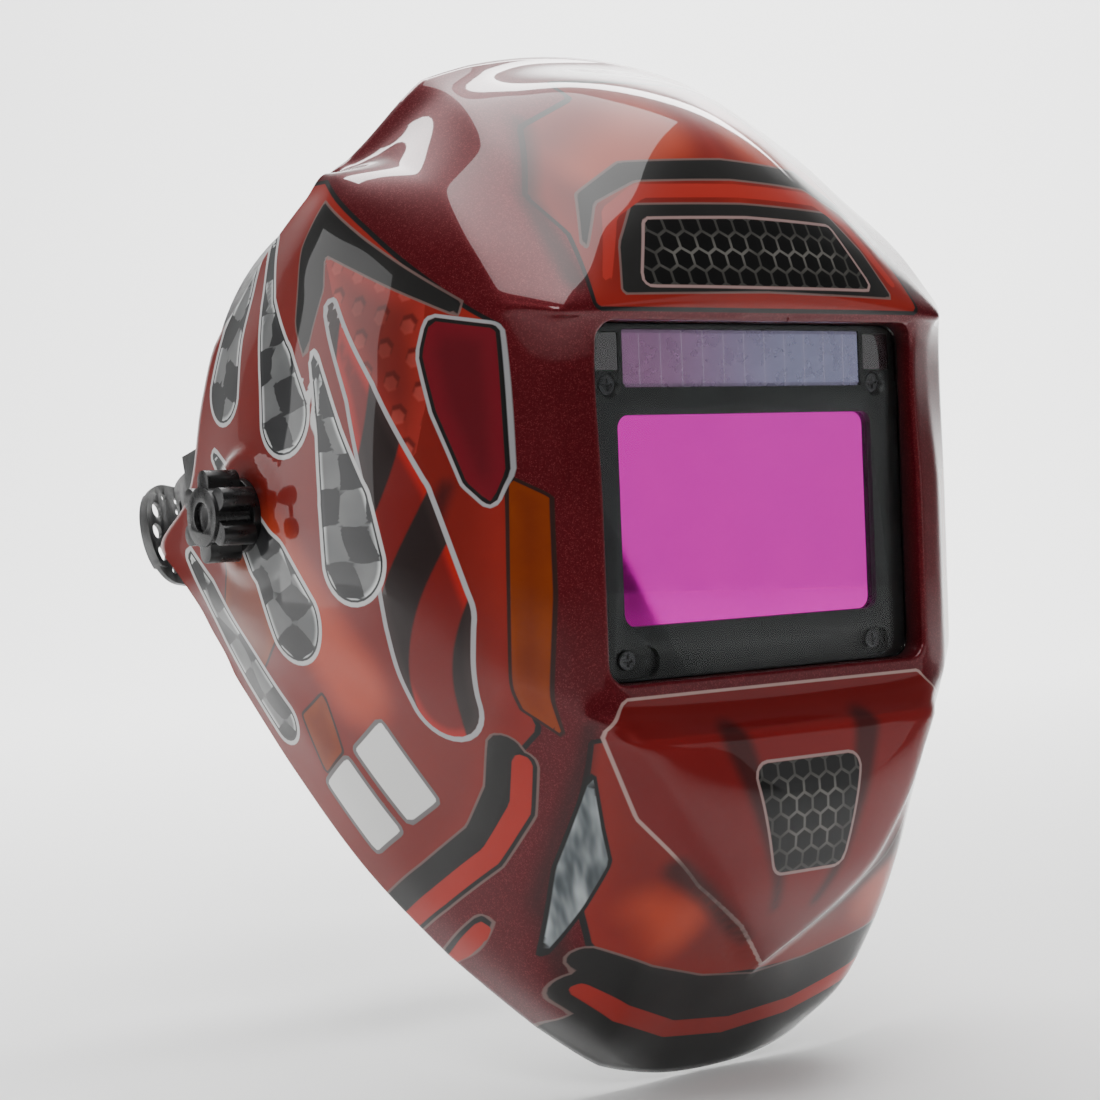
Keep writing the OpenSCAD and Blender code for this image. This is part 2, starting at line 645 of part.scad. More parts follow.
module ratchet_screws() {
  color(steel)
  headband_plane() for (s = [-1, 1]) for (z = [-11.5, 11.5]) union() {
    ypin(1.35, 152, 163.2, s * 27, z);
    ypin(2.6, 163.3, 164.6, s * 27, z);
  }
}

module ratchet_pinion() {
  color(charcoal)
  headband_plane() union() {
    ypin(4.2, 149.4, 153.2, 0, 0);
    for (k = [0:pinion_n - 1]) rotate([0, 360 / pinion_n * k, 0]) translate([0, 153.2, 0])
      rotate([90, 0, 0]) linear_extrude(3.8) polygon([[-0.85, 3.9], [-0.4, 6.1], [0.4, 6.1], [0.85, 3.9]]);
    ypin(3.5, 153.1, 174, 0, 0);
  }
}

module ratchet_knob() {
  color(black)
  headband_plane() difference() {
    ypin(dial_d / 2, 165, 178, 0, 0);
    for (k = [0:17]) rotate([0, 20 * k, 0]) ypin(1.9, 164, 179, 0, dial_d / 2 + 0.5);
    ypin(3.5 + fit, 164, 174.2, 0, 0);
    ypin(dial_d / 2 - 7, 176, 179, 0, 0);
  }
}

// ---- Crown strap: two halves joined by a pin, riveted to the headband
strap_y = 30;
strap_c = 5;
module crown_half(r0) {
  difference() {
    union() {
      translate([0, strap_y + 11, strap_c]) rotate([90, 0, 0])
        rotate_extrude(angle = 108) translate([r0, 0]) square([1.4, 22]);
      block(r0, r0 + 1.4, strap_y - 11, strap_y + 11, -6, strap_c);
    }
    xpin(2.1, 80, 110, strap_y, 6);
    for (k = [-2:2]) translate([0, strap_y, strap_c]) rotate([0, 5 * k - 90, 0]) xpin(1.9, 90, 102);
  }
}
module crown_strap_left() { color(black) headband_plane() crown_half(95.4); }
module crown_strap_right() { color(black) headband_plane() flip_x() crown_half(97.2); }

module crown_pin() {
  color(charcoal)
  headband_plane() translate([0, strap_y, strap_c]) rotate([0, -90, 0]) union() {
    xpin(1.85, 94.9, 99);
    xpin(5, 98.8, 100.6);
    xpin(2.4, 94, 95.1);
  }
}

module strap_rivets() {
  color(charcoal)
  headband_plane() for (m = [0, 1]) mirror([m, 0, 0]) union() {
    xpin(2, 92, m > 0 ? 99.2 : 97.4, strap_y, 6);
    xpin(4.2, 91.4, 92.5, strap_y, 6);
    xpin(4.2, m > 0 ? 98.8 : 97, m > 0 ? 100.2 : 98.4, strap_y, 6);
  }
}

shell();
front_cover_lens();
filter_front_housing();
filter_glass();
lcd_cell();
solar_panel();
left_arc_sensor();
right_arc_sensor();
circuit_board();
control_board();
coin_cells();
left_battery_cap();
right_battery_cap();
filter_rear_housing();
inner_cover_lens();
filter_screws();
retaining_frame();
retainer_screws();
shade_knob();
sensitivity_knob();
delay_knob();
test_button();
mode_switch();
left_tension_knob();
right_tension_knob();
left_knob_nut();
right_knob_nut();
left_pivot_bolt();
right_pivot_bolt();
left_friction_washer();
right_friction_washer();
left_tilt_stop();
right_tilt_stop();
left_side_arm();
right_side_arm();
arm_rivets();
front_band();
sweatband();
left_rear_band();
right_rear_band();
back_plate();
back_pad();
ratchet_housing();
ratchet_pinion();
ratchet_knob();
ratchet_screws();
crown_strap_left();
crown_strap_right();
crown_pin();
strap_rivets();
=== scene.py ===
"""Looks of an auto-darkening welding helmet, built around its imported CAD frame.

Blender works in metres. The shell and its paint are laid out in millimetres from the visor rim:
out to the side, back from the rim plane, up from the lens centre.
"""
import json
import math

import bmesh
import bpy
import numpy as np
from mathutils import Matrix, Vector


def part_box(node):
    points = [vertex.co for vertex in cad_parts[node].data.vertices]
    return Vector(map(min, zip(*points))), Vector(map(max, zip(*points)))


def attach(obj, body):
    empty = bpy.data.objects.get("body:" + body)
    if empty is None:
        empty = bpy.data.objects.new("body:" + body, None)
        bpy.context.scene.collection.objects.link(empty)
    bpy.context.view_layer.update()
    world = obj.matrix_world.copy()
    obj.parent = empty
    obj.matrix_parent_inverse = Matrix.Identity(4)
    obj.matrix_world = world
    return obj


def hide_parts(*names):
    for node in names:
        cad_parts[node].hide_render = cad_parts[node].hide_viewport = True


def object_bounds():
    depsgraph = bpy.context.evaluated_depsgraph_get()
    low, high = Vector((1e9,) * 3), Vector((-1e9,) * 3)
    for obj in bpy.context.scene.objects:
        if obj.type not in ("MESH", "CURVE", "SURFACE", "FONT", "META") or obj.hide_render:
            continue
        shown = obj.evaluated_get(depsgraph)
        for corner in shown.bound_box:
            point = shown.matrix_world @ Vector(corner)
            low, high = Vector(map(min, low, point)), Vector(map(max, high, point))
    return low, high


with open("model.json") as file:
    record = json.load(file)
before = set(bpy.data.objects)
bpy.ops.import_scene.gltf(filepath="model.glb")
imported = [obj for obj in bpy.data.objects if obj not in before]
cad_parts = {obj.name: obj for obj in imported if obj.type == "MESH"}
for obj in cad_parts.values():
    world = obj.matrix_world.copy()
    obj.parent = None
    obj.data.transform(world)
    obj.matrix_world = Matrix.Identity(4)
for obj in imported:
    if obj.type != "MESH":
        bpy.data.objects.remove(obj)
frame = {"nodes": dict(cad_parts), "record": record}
cad_low, cad_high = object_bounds()
nodes = frame["nodes"]
body_of = {n: b for b, members in frame["record"]["behaviour"]["bodies"].items() for n in members}
slot_of = {p["node"]: p["material_slot"] for p in frame["record"]["subparts"]}

MM = 0.001
# Place of the pivot axis, counted from the middle of the visor rim
RIM = np.array([0.0, 115.0, 6.0])
# Visor opening: width, height, corner radius and height of its middle
OPEN_W, OPEN_H, OPEN_R = 123.7, 104.5, 6.0
OPEN_Z = -0.54
# Sheet of the shell, bore for the pivot bolt, and the flat pads round the pivots
WALL = 2.2
BORE = 4.06
PAD_R, PAD_IN, PAD_OUT = 18.0, 109.0, 115.2
# Rounded lip of the visor opening and the flange behind it
LIP, FLANGE = 1.2, 2.0
FLANGE_BACK = -104.0


# ---------------------------------------------------------------- camera, stage and lights
def add_camera():
    yaw, pitch, roll = map(math.radians, (-36, 1.35, -2.28))
    back = Vector((math.sin(yaw) * math.cos(pitch), -math.cos(yaw) * math.cos(pitch), math.sin(pitch)))
    right = Vector((math.cos(yaw), math.sin(yaw), 0))
    up = back.cross(right)
    rolled_right = right * math.cos(roll) + up * math.sin(roll)
    rolled_up = up * math.cos(roll) - right * math.sin(roll)
    data = bpy.data.cameras.new("camera")
    data.lens = 80.3
    data.sensor_width = 36
    camera = bpy.data.objects.new("camera", data)
    turn = Matrix((rolled_right, rolled_up, back)).transposed().to_4x4()
    camera.matrix_world = Matrix.Translation((-0.4847, -0.6692, 0.0034)) @ turn
    bpy.context.scene.collection.objects.link(camera)
    bpy.context.scene.camera = camera


def area_light(name, place, target, size, power, lean=0):
    data = bpy.data.lights.new(name, "AREA")
    data.shape = "RECTANGLE"
    data.size, data.size_y = size
    data.energy = power
    light = bpy.data.objects.new(name, data)
    light.location = place
    aim = (Vector(target) - Vector(place)).to_track_quat("-Z", "Y").to_matrix()
    light.rotation_euler = (aim @ Matrix.Rotation(math.radians(lean), 3, "Z")).to_euler()
    light.visible_camera = False
    bpy.context.scene.collection.objects.link(light)


def add_stage():
    floor_z = cad_low.z - 0.0005
    half, back, rise = 3.5, 2.2, 3.2
    profile = [(-half, 0)] + [(back - 0.8 + 0.8 * math.sin(a), 0.8 - 0.8 * math.cos(a))
                              for a in np.linspace(0, math.pi / 2, 13)] + [(back, rise)]
    verts = [(x, y, floor_z + z) for y, z in profile for x in (-half, half)]
    faces = [(2 * i, 2 * i + 1, 2 * i + 3, 2 * i + 2) for i in range(len(profile) - 1)]
    mesh = bpy.data.meshes.new("floor")
    mesh.from_pydata(verts, [], faces)
    mesh.shade_smooth()
    floor = bpy.data.objects.new("floor", mesh)
    floor.rotation_euler.z = math.radians(-36)
    bpy.context.scene.collection.objects.link(floor)
    paint = Paint("studio_paper", roughness=0.9)
    paint.colour((0.86, 0.86, 0.855))
    mesh.materials.append(paint.material)


def add_lights():
    area_light("overhead_box", (0.1, -0.1, 1.3), (0, -0.02, 0.05), (1.2, 0.8), 17)
    area_light("left_box", (-1.15, 0.75, 0.3), (0, 0, 0), (0.7, 1.2), 6.5)
    area_light("filter_box", (1.41, -1.45, 0.315), (1.41, 0, 0.315), (1.1, 1.3), 3.1, lean=30)
    area_light("front_fill", (-1.3, -1.9, 1.7), (0, 0, 0), (0.9, 0.9), 30)
    area_light("back_wash", (0.9, 0.9, 1.6), (1.0, 1.9, 0.3), (2.4, 0.8), 130)
    world = bpy.data.worlds.new("world")
    world.use_nodes = True
    world.node_tree.nodes["Background"].inputs["Color"].default_value = (1, 1, 1, 1)
    world.node_tree.nodes["Background"].inputs["Strength"].default_value = 0.10
    bpy.context.scene.world = world


# ---------------------------------------------------------------- materials
class Paint:
    """One node material, built from its Principled shader outwards."""

    def __init__(self, name, **shader):
        self.material = bpy.data.materials.new(name)
        self.material.use_nodes = True
        self.tree = self.material.node_tree
        self.tree.nodes.clear()
        self.shader = self.tree.nodes.new("ShaderNodeBsdfPrincipled")
        self.out = self.tree.nodes.new("ShaderNodeOutputMaterial")
        self.tree.links.new(self.shader.outputs[0], self.out.inputs[0])
        for key, value in shader.items():
            label = key.replace("_", " ").title().replace("Ior", "IOR")
            self.shader.inputs[label].default_value = value
        self.place = self.node("ShaderNodeTexCoord").outputs["Object"]

    def node(self, kind, **settings):
        made = self.tree.nodes.new(kind)
        for key, value in settings.items():
            setattr(made, key, value)
        return made

    def plug(self, socket, value):
        if isinstance(value, bpy.types.NodeSocket):
            self.tree.links.new(value, socket)
        elif isinstance(value, (tuple, list)) and len(value) == 3 and socket.type == "RGBA":
            socket.default_value = (*value, 1)
        else:
            socket.default_value = value

    def math(self, kind, a, b=0.0, c=0.0):
        made = self.node("ShaderNodeMath", operation=kind)
        for socket, value in zip(made.inputs, (a, b, c)):
            self.plug(socket, value)
        return made.outputs[0]

    def vector(self, kind, a, b=(0, 0, 0)):
        made = self.node("ShaderNodeVectorMath", operation=kind)
        self.plug(made.inputs[0], a)
        self.plug(made.inputs[1], b)
        return made.outputs["Value" if kind in ("DOT_PRODUCT", "LENGTH") else "Vector"]

    def mix(self, factor, a, b):
        made = self.node("ShaderNodeMix", data_type="RGBA", blend_type="MIX")
        self.plug(made.inputs[0], factor)
        self.plug(made.inputs[6], a)
        self.plug(made.inputs[7], b)
        return made.outputs[2]

    def ramp(self, value, low, high, to_low=0.0, to_high=1.0):
        made = self.node("ShaderNodeMapRange", interpolation_type="SMOOTHSTEP")
        for socket, number in zip(made.inputs, (value, low, high, to_low, to_high)):
            self.plug(socket, number)
        return made.outputs[0]

    def noise(self, scale, detail=3.0, rough=0.55, stretch=None):
        spot = self.place
        if stretch:
            spot = self.vector("MULTIPLY", spot, stretch)
        made = self.node("ShaderNodeTexNoise")
        self.plug(made.inputs["Vector"], spot)
        made.inputs["Scale"].default_value = scale
        made.inputs["Detail"].default_value = detail
        made.inputs["Roughness"].default_value = rough
        return made.outputs["Fac"]

    def cells(self, scale, output="Distance", randomness=1.0):
        made = self.node("ShaderNodeTexVoronoi", feature="F1")
        self.plug(made.inputs["Vector"], self.place)
        made.inputs["Scale"].default_value = scale
        made.inputs["Randomness"].default_value = randomness
        return made.outputs[output]

    def field(self, name):
        return self.node("ShaderNodeAttribute", attribute_name=name).outputs["Fac"]

    def bump(self, height, strength=0.3, distance=0.0004):
        made = self.node("ShaderNodeBump")
        made.inputs["Strength"].default_value = strength
        made.inputs["Distance"].default_value = distance
        self.plug(made.inputs["Height"], height)
        self.plug(self.shader.inputs["Normal"], made.outputs[0])

    def colour(self, value):
        self.plug(self.shader.inputs["Base Color"], value)

    def rough(self, value):
        self.plug(self.shader.inputs["Roughness"], value)


def moulded(name, dark, light, rough=(0.42, 0.58), grain=1600, depth=0.25, **shader):
    """Textured moulded plastic: fine spark grain, faint flow marks and rubbed patches."""
    paint = Paint(name, **shader)
    flow = paint.noise(26, 4, 0.6)
    rubbed = paint.noise(150, 5, 0.6)
    paint.colour(paint.mix(paint.ramp(flow, 0.35, 0.7), dark, light))
    paint.rough(paint.ramp(rubbed, 0.3, 0.7, *rough))
    spark = paint.cells(grain)
    paint.bump(paint.math("ADD", spark, paint.math("MULTIPLY", rubbed, 0.6)), depth, 0.00012)
    return paint.material


def metal(name, dark, light, rough=(0.22, 0.4)):
    """Turned or stamped metal: stretched scratches and a mottled finish."""
    paint = Paint(name, metallic=1.0)
    mottle = paint.noise(120, 4, 0.6)
    lines = paint.noise(420, 3, 0.7, stretch=(1, 9, 1))
    paint.colour(paint.mix(mottle, dark, light))
    paint.rough(paint.ramp(lines, 0.25, 0.75, *rough))
    paint.bump(lines, 0.12, 0.00008)
    return paint.material


def clear_sheet(name, tint):
    paint = Paint(name, ior=1.17, transmission_weight=1.0, roughness=0.02)
    haze = paint.noise(60, 4, 0.6)
    paint.colour(paint.mix(haze, tint, (1, 1, 1)))
    scuff = paint.noise(300, 5, 0.7, stretch=(1, 1, 6))
    paint.rough(paint.ramp(scuff, 0.55, 0.8, 0.012, 0.06))
    return paint.material


def mirror_filter(name):
    """Magenta interference coating: bright, a little deeper to one side, with faint polishing haze."""
    paint = Paint(name, metallic=1.0, roughness=0.03)
    drift = paint.noise(9, 2, 0.5)
    paint.colour(paint.mix(drift, (0.90, 0.002, 0.56), (0.98, 0.010, 0.64)))
    paint.rough(paint.ramp(paint.noise(70, 4, 0.6), 0.3, 0.8, 0.025, 0.05))
    return paint.material


def solar_strip(name):
    """Twelve thin-film cells: violet on the wearer's right, blue-grey on the left, fine lines between."""
    low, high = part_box("solar_panel")
    width = high.x - low.x
    paint = Paint(name, metallic=0.85, roughness=0.22)
    split = paint.node("ShaderNodeSeparateXYZ")
    paint.plug(split.inputs[0], paint.place)
    along = paint.math("DIVIDE", paint.math("SUBTRACT", split.outputs["X"], low.x), width)
    tone = paint.mix(paint.ramp(along, 0.05, 0.75), (0.36, 0.17, 0.33), (0.30, 0.30, 0.46))
    cell = paint.math("FRACT", paint.math("MULTIPLY", along, 12.0))
    line = paint.ramp(paint.math("ABSOLUTE", paint.math("SUBTRACT", cell, 0.5)), 0.478, 0.492)
    above_middle = paint.math("SUBTRACT", split.outputs["Z"], (low.z + high.z) / 2)
    bus = paint.ramp(paint.math("ABSOLUTE", above_middle), 0.0072, 0.0076)
    film = paint.mix(paint.noise(40, 3, 0.6), tone, paint.mix(0.2, tone, (0.15, 0.12, 0.2)))
    etched = paint.mix(paint.math("MULTIPLY", line, 0.7), film, (0.55, 0.48, 0.60))
    paint.colour(paint.mix(paint.math("MULTIPLY", bus, 0.5), etched, (0.10, 0.07, 0.12)))
    paint.rough(paint.ramp(paint.noise(200, 3, 0.6), 0.3, 0.7, 0.2, 0.3))
    return paint.material


def lcd_glass(name):
    paint = Paint(name, roughness=0.06, coat_weight=0.6)
    paint.colour(paint.mix(paint.noise(14, 3, 0.5), (0.012, 0.02, 0.014), (0.03, 0.045, 0.03)))
    paint.rough(paint.ramp(paint.noise(90, 4, 0.6), 0.3, 0.8, 0.04, 0.1))
    return paint.material


def sensor_window(name):
    paint = Paint(name, roughness=0.08, coat_weight=1.0)
    paint.colour(paint.mix(paint.noise(90, 2, 0.5), (0.006, 0.004, 0.006), (0.02, 0.006, 0.012)))
    paint.rough(paint.ramp(paint.noise(160, 3, 0.6), 0.3, 0.8, 0.05, 0.12))
    return paint.material


def circuit(name):
    """Green solder mask over copper tracks that run as fine parallel lines with pads between."""
    paint = Paint(name, roughness=0.35)
    split = paint.node("ShaderNodeSeparateXYZ")
    paint.plug(split.inputs[0], paint.place)
    wander = paint.math("MULTIPLY", paint.noise(90, 1, 0.4), 0.004)
    height = paint.math("ADD", split.outputs["Z"], wander)
    lane = paint.math("FRACT", paint.math("MULTIPLY", height, 620.0))
    track = paint.ramp(paint.math("ABSOLUTE", paint.math("SUBTRACT", lane, 0.5)), 0.22, 0.26)
    pads = paint.ramp(paint.cells(260, randomness=0.3), 0.18, 0.22, 1.0, 0.0)
    mask = paint.mix(track, (0.010, 0.10, 0.035), (0.02, 0.17, 0.06))
    paint.colour(paint.mix(pads, mask, (0.62, 0.60, 0.52)))
    paint.rough(paint.ramp(pads, 0.0, 1.0, 0.38, 0.25))
    paint.bump(paint.math("ADD", track, pads), 0.3, 0.00006)
    return paint.material


def foam_cloth(name, dark, light):
    """Brushed knit over foam: a fine rib with fuzz, a little sheen and flattened patches."""
    paint = Paint(name, roughness=0.95, sheen_weight=0.35, sheen_roughness=0.5)
    rib = paint.node("ShaderNodeTexWave", wave_type="BANDS", bands_direction="Z", wave_profile="SIN")
    paint.plug(rib.inputs["Vector"], paint.place)
    rib.inputs["Scale"].default_value = 260
    rib.inputs["Distortion"].default_value = 1.5
    rib.inputs["Detail"].default_value = 2
    fuzz = paint.noise(900, 5, 0.7)
    worn = paint.noise(40, 3, 0.5)
    weave = paint.math("ADD", rib.outputs["Fac"], paint.math("MULTIPLY", fuzz, 0.8))
    paint.colour(paint.mix(paint.math("MULTIPLY", weave, 0.55), dark, paint.mix(worn, light, dark)))
    paint.rough(paint.ramp(worn, 0.3, 0.7, 0.85, 0.98))
    paint.bump(weave, 0.6, 0.0003)
    return paint.material


def hexagons(paint, u, v, size):
    """Distance towards the walls of a hexagon mesh, 0 in a cell's middle and 0.5 on its wall."""
    chart = paint.node("ShaderNodeCombineXYZ")
    paint.plug(chart.inputs[0], paint.math("DIVIDE", u, size))
    paint.plug(chart.inputs[1], paint.math("DIVIDE", v, size))
    # moved by whole cells, so that every coordinate is positive
    spot = paint.vector("ADD", chart.outputs[0], (1000.0, 1000.0 * math.sqrt(3), 1.0))
    pitch = (1.0, math.sqrt(3), 10.0)
    middle = (0.5, math.sqrt(3) / 2, 1.0)
    even = paint.vector("SUBTRACT", paint.vector("MODULO", spot, pitch), middle)
    shifted = paint.vector("MODULO", paint.vector("SUBTRACT", spot, middle), pitch)
    odd = paint.vector("SUBTRACT", shifted, (middle[0], middle[1], 0.0))
    even_far = paint.vector("LENGTH", paint.vector("MULTIPLY", even, (1, 1, 0)))
    odd_far = paint.vector("LENGTH", paint.vector("MULTIPLY", odd, (1, 1, 0)))
    walls = []
    for cell in (even, odd):
        side = paint.vector("ABSOLUTE", cell)
        slanted = paint.vector("DOT_PRODUCT", side, (0.5, math.sqrt(3) / 2, 0))
        flat = paint.vector("DOT_PRODUCT", side, (1, 0, 0))
        walls.append(paint.math("MAXIMUM", slanted, flat))
    nearer = paint.math("LESS_THAN", even_far, odd_far)
    gap = paint.math("SUBTRACT", walls[0], walls[1])
    return paint.math("MULTIPLY_ADD", nearer, gap, walls[1])


def shell_paint(name):
    """Clear-coated maroon flake under an airbrushed racing scheme; the lining is bare black nylon."""
    paint = Paint(name, coat_weight=1.0, coat_roughness=0.025, coat_ior=1.33, specular_ior_level=0.1)
    soft = 0.18
    split = paint.node("ShaderNodeSeparateXYZ")
    paint.plug(split.inputs[0], paint.place)
    x, y, z = (split.outputs[k] for k in "XYZ")

    def cover(under, field, over, grow=0.0):
        """Lay a colour over the inside of an outline, grown outwards by some millimetres."""
        inside = paint.ramp(paint.field(field), grow - soft, grow + soft, 1.0, 0.0)
        return paint.mix(inside, under, over)

    def ring(under, field, low, high, over, strength=1.0):
        """Lay a line along an outline, from one distance outside it to another."""
        distance = paint.field(field)
        inner = paint.ramp(distance, low - soft, low + soft)
        outer = paint.ramp(distance, high - soft, high + soft, 1.0, 0.0)
        amount = paint.math("MULTIPLY", paint.math("MULTIPLY", inner, outer), strength)
        return paint.mix(amount, under, over)

    def fade(field, near, far, most=None):
        """Full at one distance from an outline and nothing at another."""
        amount = paint.ramp(paint.field(field), near, far, 1.0, 0.0)
        return amount if most is None else paint.math("MULTIPLY", amount, most)

    cloud = paint.noise(18, 3, 0.5)
    flake = paint.cells(3400, output="Color")
    sparkle = paint.node("ShaderNodeSeparateColor")
    paint.plug(sparkle.inputs[0], flake)
    glint = paint.math("POWER", sparkle.outputs[0], 5.0)

    # maroon flake ground
    ground = paint.mix(cloud, (0.060, 0.0020, 0.0048), (0.090, 0.0030, 0.0070))
    ground = paint.mix(paint.math("MULTIPLY", glint, 0.3), ground, (0.32, 0.06, 0.065))
    # airbrushed red of the sides, brow and chin
    red = paint.mix(cloud, (0.15, 0.008, 0.006), (0.27, 0.020, 0.012))
    red = paint.mix(fade("side", -14, 0, 0.45), red, (0.09, 0.006, 0.005))
    colour = cover(ground, "side", red)
    colour = ring(colour, "side", -0.4, 0.9, (0.012, 0.011, 0.011))
    # warm glow and highlights laid on softly
    colour = paint.mix(fade("glow", -6, 7, 0.55), colour, (0.56, 0.07, 0.025))
    orange = paint.mix(paint.noise(45, 4, 0.6), (0.13, 0.014, 0.003), (0.27, 0.050, 0.004))
    orange = paint.mix(fade("orange", -5, 0, 0.5), orange, (0.12, 0.012, 0.004))
    colour = cover(colour, "orange", orange)
    colour = ring(colour, "orange", -0.1, 0.8, (0.03, 0.012, 0.010))
    # snout facet, with a painted highlight along its raised edge
    facet = paint.mix(cloud, (0.10, 0.004, 0.005), (0.18, 0.010, 0.009))
    colour = cover(colour, "vee", facet)
    # pale pink line round the facet: a painted highlight where its raised edge catches the light
    colour = ring(colour, "vee", -0.2, 0.7, (0.34, 0.22, 0.20))
    # soft dark strokes
    colour = paint.mix(fade("shade", -1.5, 3.5, 0.8), colour, (0.018, 0.006, 0.006))
    # dimpled plate
    dimple_u = paint.math("ADD", paint.math("MULTIPLY", y, 0.94), paint.math("MULTIPLY", z, 0.34))
    dimple_v = paint.math("SUBTRACT", paint.math("MULTIPLY", z, 0.94), paint.math("MULTIPLY", y, 0.34))
    pit = hexagons(paint, dimple_u, dimple_v, 0.0098)
    pit_low = hexagons(paint, dimple_u, paint.math("ADD", dimple_v, 0.0012), 0.0098)
    plate = paint.mix(cloud, (0.20, 0.014, 0.011), (0.32, 0.028, 0.020))
    hollow = paint.math("MULTIPLY", paint.ramp(pit, 0.2, 0.3, 1.0, 0.0), 0.75)
    lit_edge = paint.math("MULTIPLY", paint.ramp(pit_low, 0.16, 0.26, 1.0, 0.0), 0.7)
    plate = paint.mix(hollow, plate, (0.07, 0.008, 0.006))
    plate = paint.mix(lit_edge, plate, (0.42, 0.06, 0.045))
    plate = paint.mix(fade("dimple", -9, 1, 0.6), plate, (0.06, 0.008, 0.006))
    colour = cover(colour, "dimple", plate)
    # black bands with a lit edge, and the red bars on them
    band = paint.mix(paint.noise(30, 3, 0.5), (0.006, 0.006, 0.006), (0.022, 0.021, 0.020))
    colour = cover(colour, "black", band)
    colour = ring(colour, "black", -0.5, 0.15, (0.16, 0.10, 0.09), strength=0.8)
    bar = paint.mix(cloud, (0.24, 0.014, 0.010), (0.38, 0.028, 0.018))
    colour = cover(colour, "redbar", bar)
    # maroon window on the side, and the long drop beside it
    window = paint.mix(fade("panel", -7, 0, 0.5), (0.13, 0.006, 0.012), (0.05, 0.003, 0.006))
    colour = cover(colour, "panel", window)
    colour = ring(colour, "panel", -0.1, 1.0, (0.012, 0.011, 0.011))
    colour = ring(colour, "panel", 1.0, 2.0, (0.30, 0.30, 0.31))
    slash = paint.ramp(paint.field("slash"), -0.12, 0.12)
    inside = paint.mix(slash, (0.34, 0.012, 0.009), (0.03, 0.018, 0.017))
    inside = paint.mix(fade("long", -3.5, 0, 0.6), inside, (0.01, 0.006, 0.006))
    colour = cover(colour, "long", inside)
    colour = ring(colour, "long", 0.0, 1.5, (0.33, 0.33, 0.34))
    # chequered drops: pale squares with cloth-like folds, a dark bevel, a silver line
    check = paint.ramp(paint.field("check"), -0.05, 0.05)
    fold = paint.ramp(paint.noise(55, 2, 0.4), 0.3, 0.7)
    pale = paint.mix(fold, (0.50, 0.52, 0.52), (0.88, 0.90, 0.89))
    dark = paint.mix(fold, (0.004, 0.004, 0.005), (0.045, 0.046, 0.048))
    flag = paint.mix(check, pale, dark)
    flag = paint.mix(fade("drop", -2.6, -0.3, 0.85), flag, (0.02, 0.02, 0.021))
    colour = cover(colour, "drop", flag)
    colour = ring(colour, "drop", -0.9, -0.1, (0.02, 0.02, 0.021))
    colour = ring(colour, "drop", -0.1, 1.2, (0.50, 0.50, 0.50))
    # pale bars and silver blades
    colour = cover(colour, "white", (0.13, 0.12, 0.12), grow=1.3)
    colour = cover(colour, "white", paint.mix(cloud, (0.62, 0.62, 0.61), (0.78, 0.78, 0.77)))
    brushed = paint.noise(70, 3, 0.6, stretch=(1, 1, 0.25))
    blade = paint.mix(paint.ramp(brushed, 0.38, 0.62), (0.045, 0.055, 0.062), (0.38, 0.42, 0.43))
    colour = cover(colour, "blade", blade)
    colour = ring(colour, "blade", -0.2, 0.6, (0.010, 0.010, 0.010))
    # honeycomb grilles, fading to black at the top
    wall = hexagons(paint, x, z, 0.0062)
    lit = paint.ramp(paint.field("grille"), -10, -3, 1.0, 0.35)
    wire = paint.math("MULTIPLY", paint.ramp(wall, 0.40, 0.46), lit)
    mesh = paint.mix(wire, (0.003, 0.003, 0.003), (0.11, 0.105, 0.095))
    colour = cover(colour, "grille", mesh)
    colour = ring(colour, "grille", 0.0, 0.9, (0.26, 0.17, 0.16))

    lining = paint.field("lining")
    nylon = paint.mix(cloud, (0.010, 0.010, 0.010), (0.022, 0.022, 0.023))
    paint.colour(paint.mix(lining, colour, nylon))
    clean = paint.ramp(cloud, 0.3, 0.7, 0.30, 0.38)
    paint.rough(paint.math("MULTIPLY_ADD", lining, 0.25, clean))
    outside = paint.math("SUBTRACT", 1.0, lining)
    paint.plug(paint.shader.inputs["Coat Weight"], outside)
    bare_flake = paint.math("SUBTRACT", 1.0, fade("side", -0.5, 0.5))
    flake_metal = paint.math("MULTIPLY", paint.math("MULTIPLY", bare_flake, 0.35), outside)
    paint.plug(paint.shader.inputs["Metallic"], flake_metal)
    grain = paint.math("MULTIPLY", paint.cells(1300), lining)
    paint.bump(grain, 0.35, 0.00015)
    return paint.material


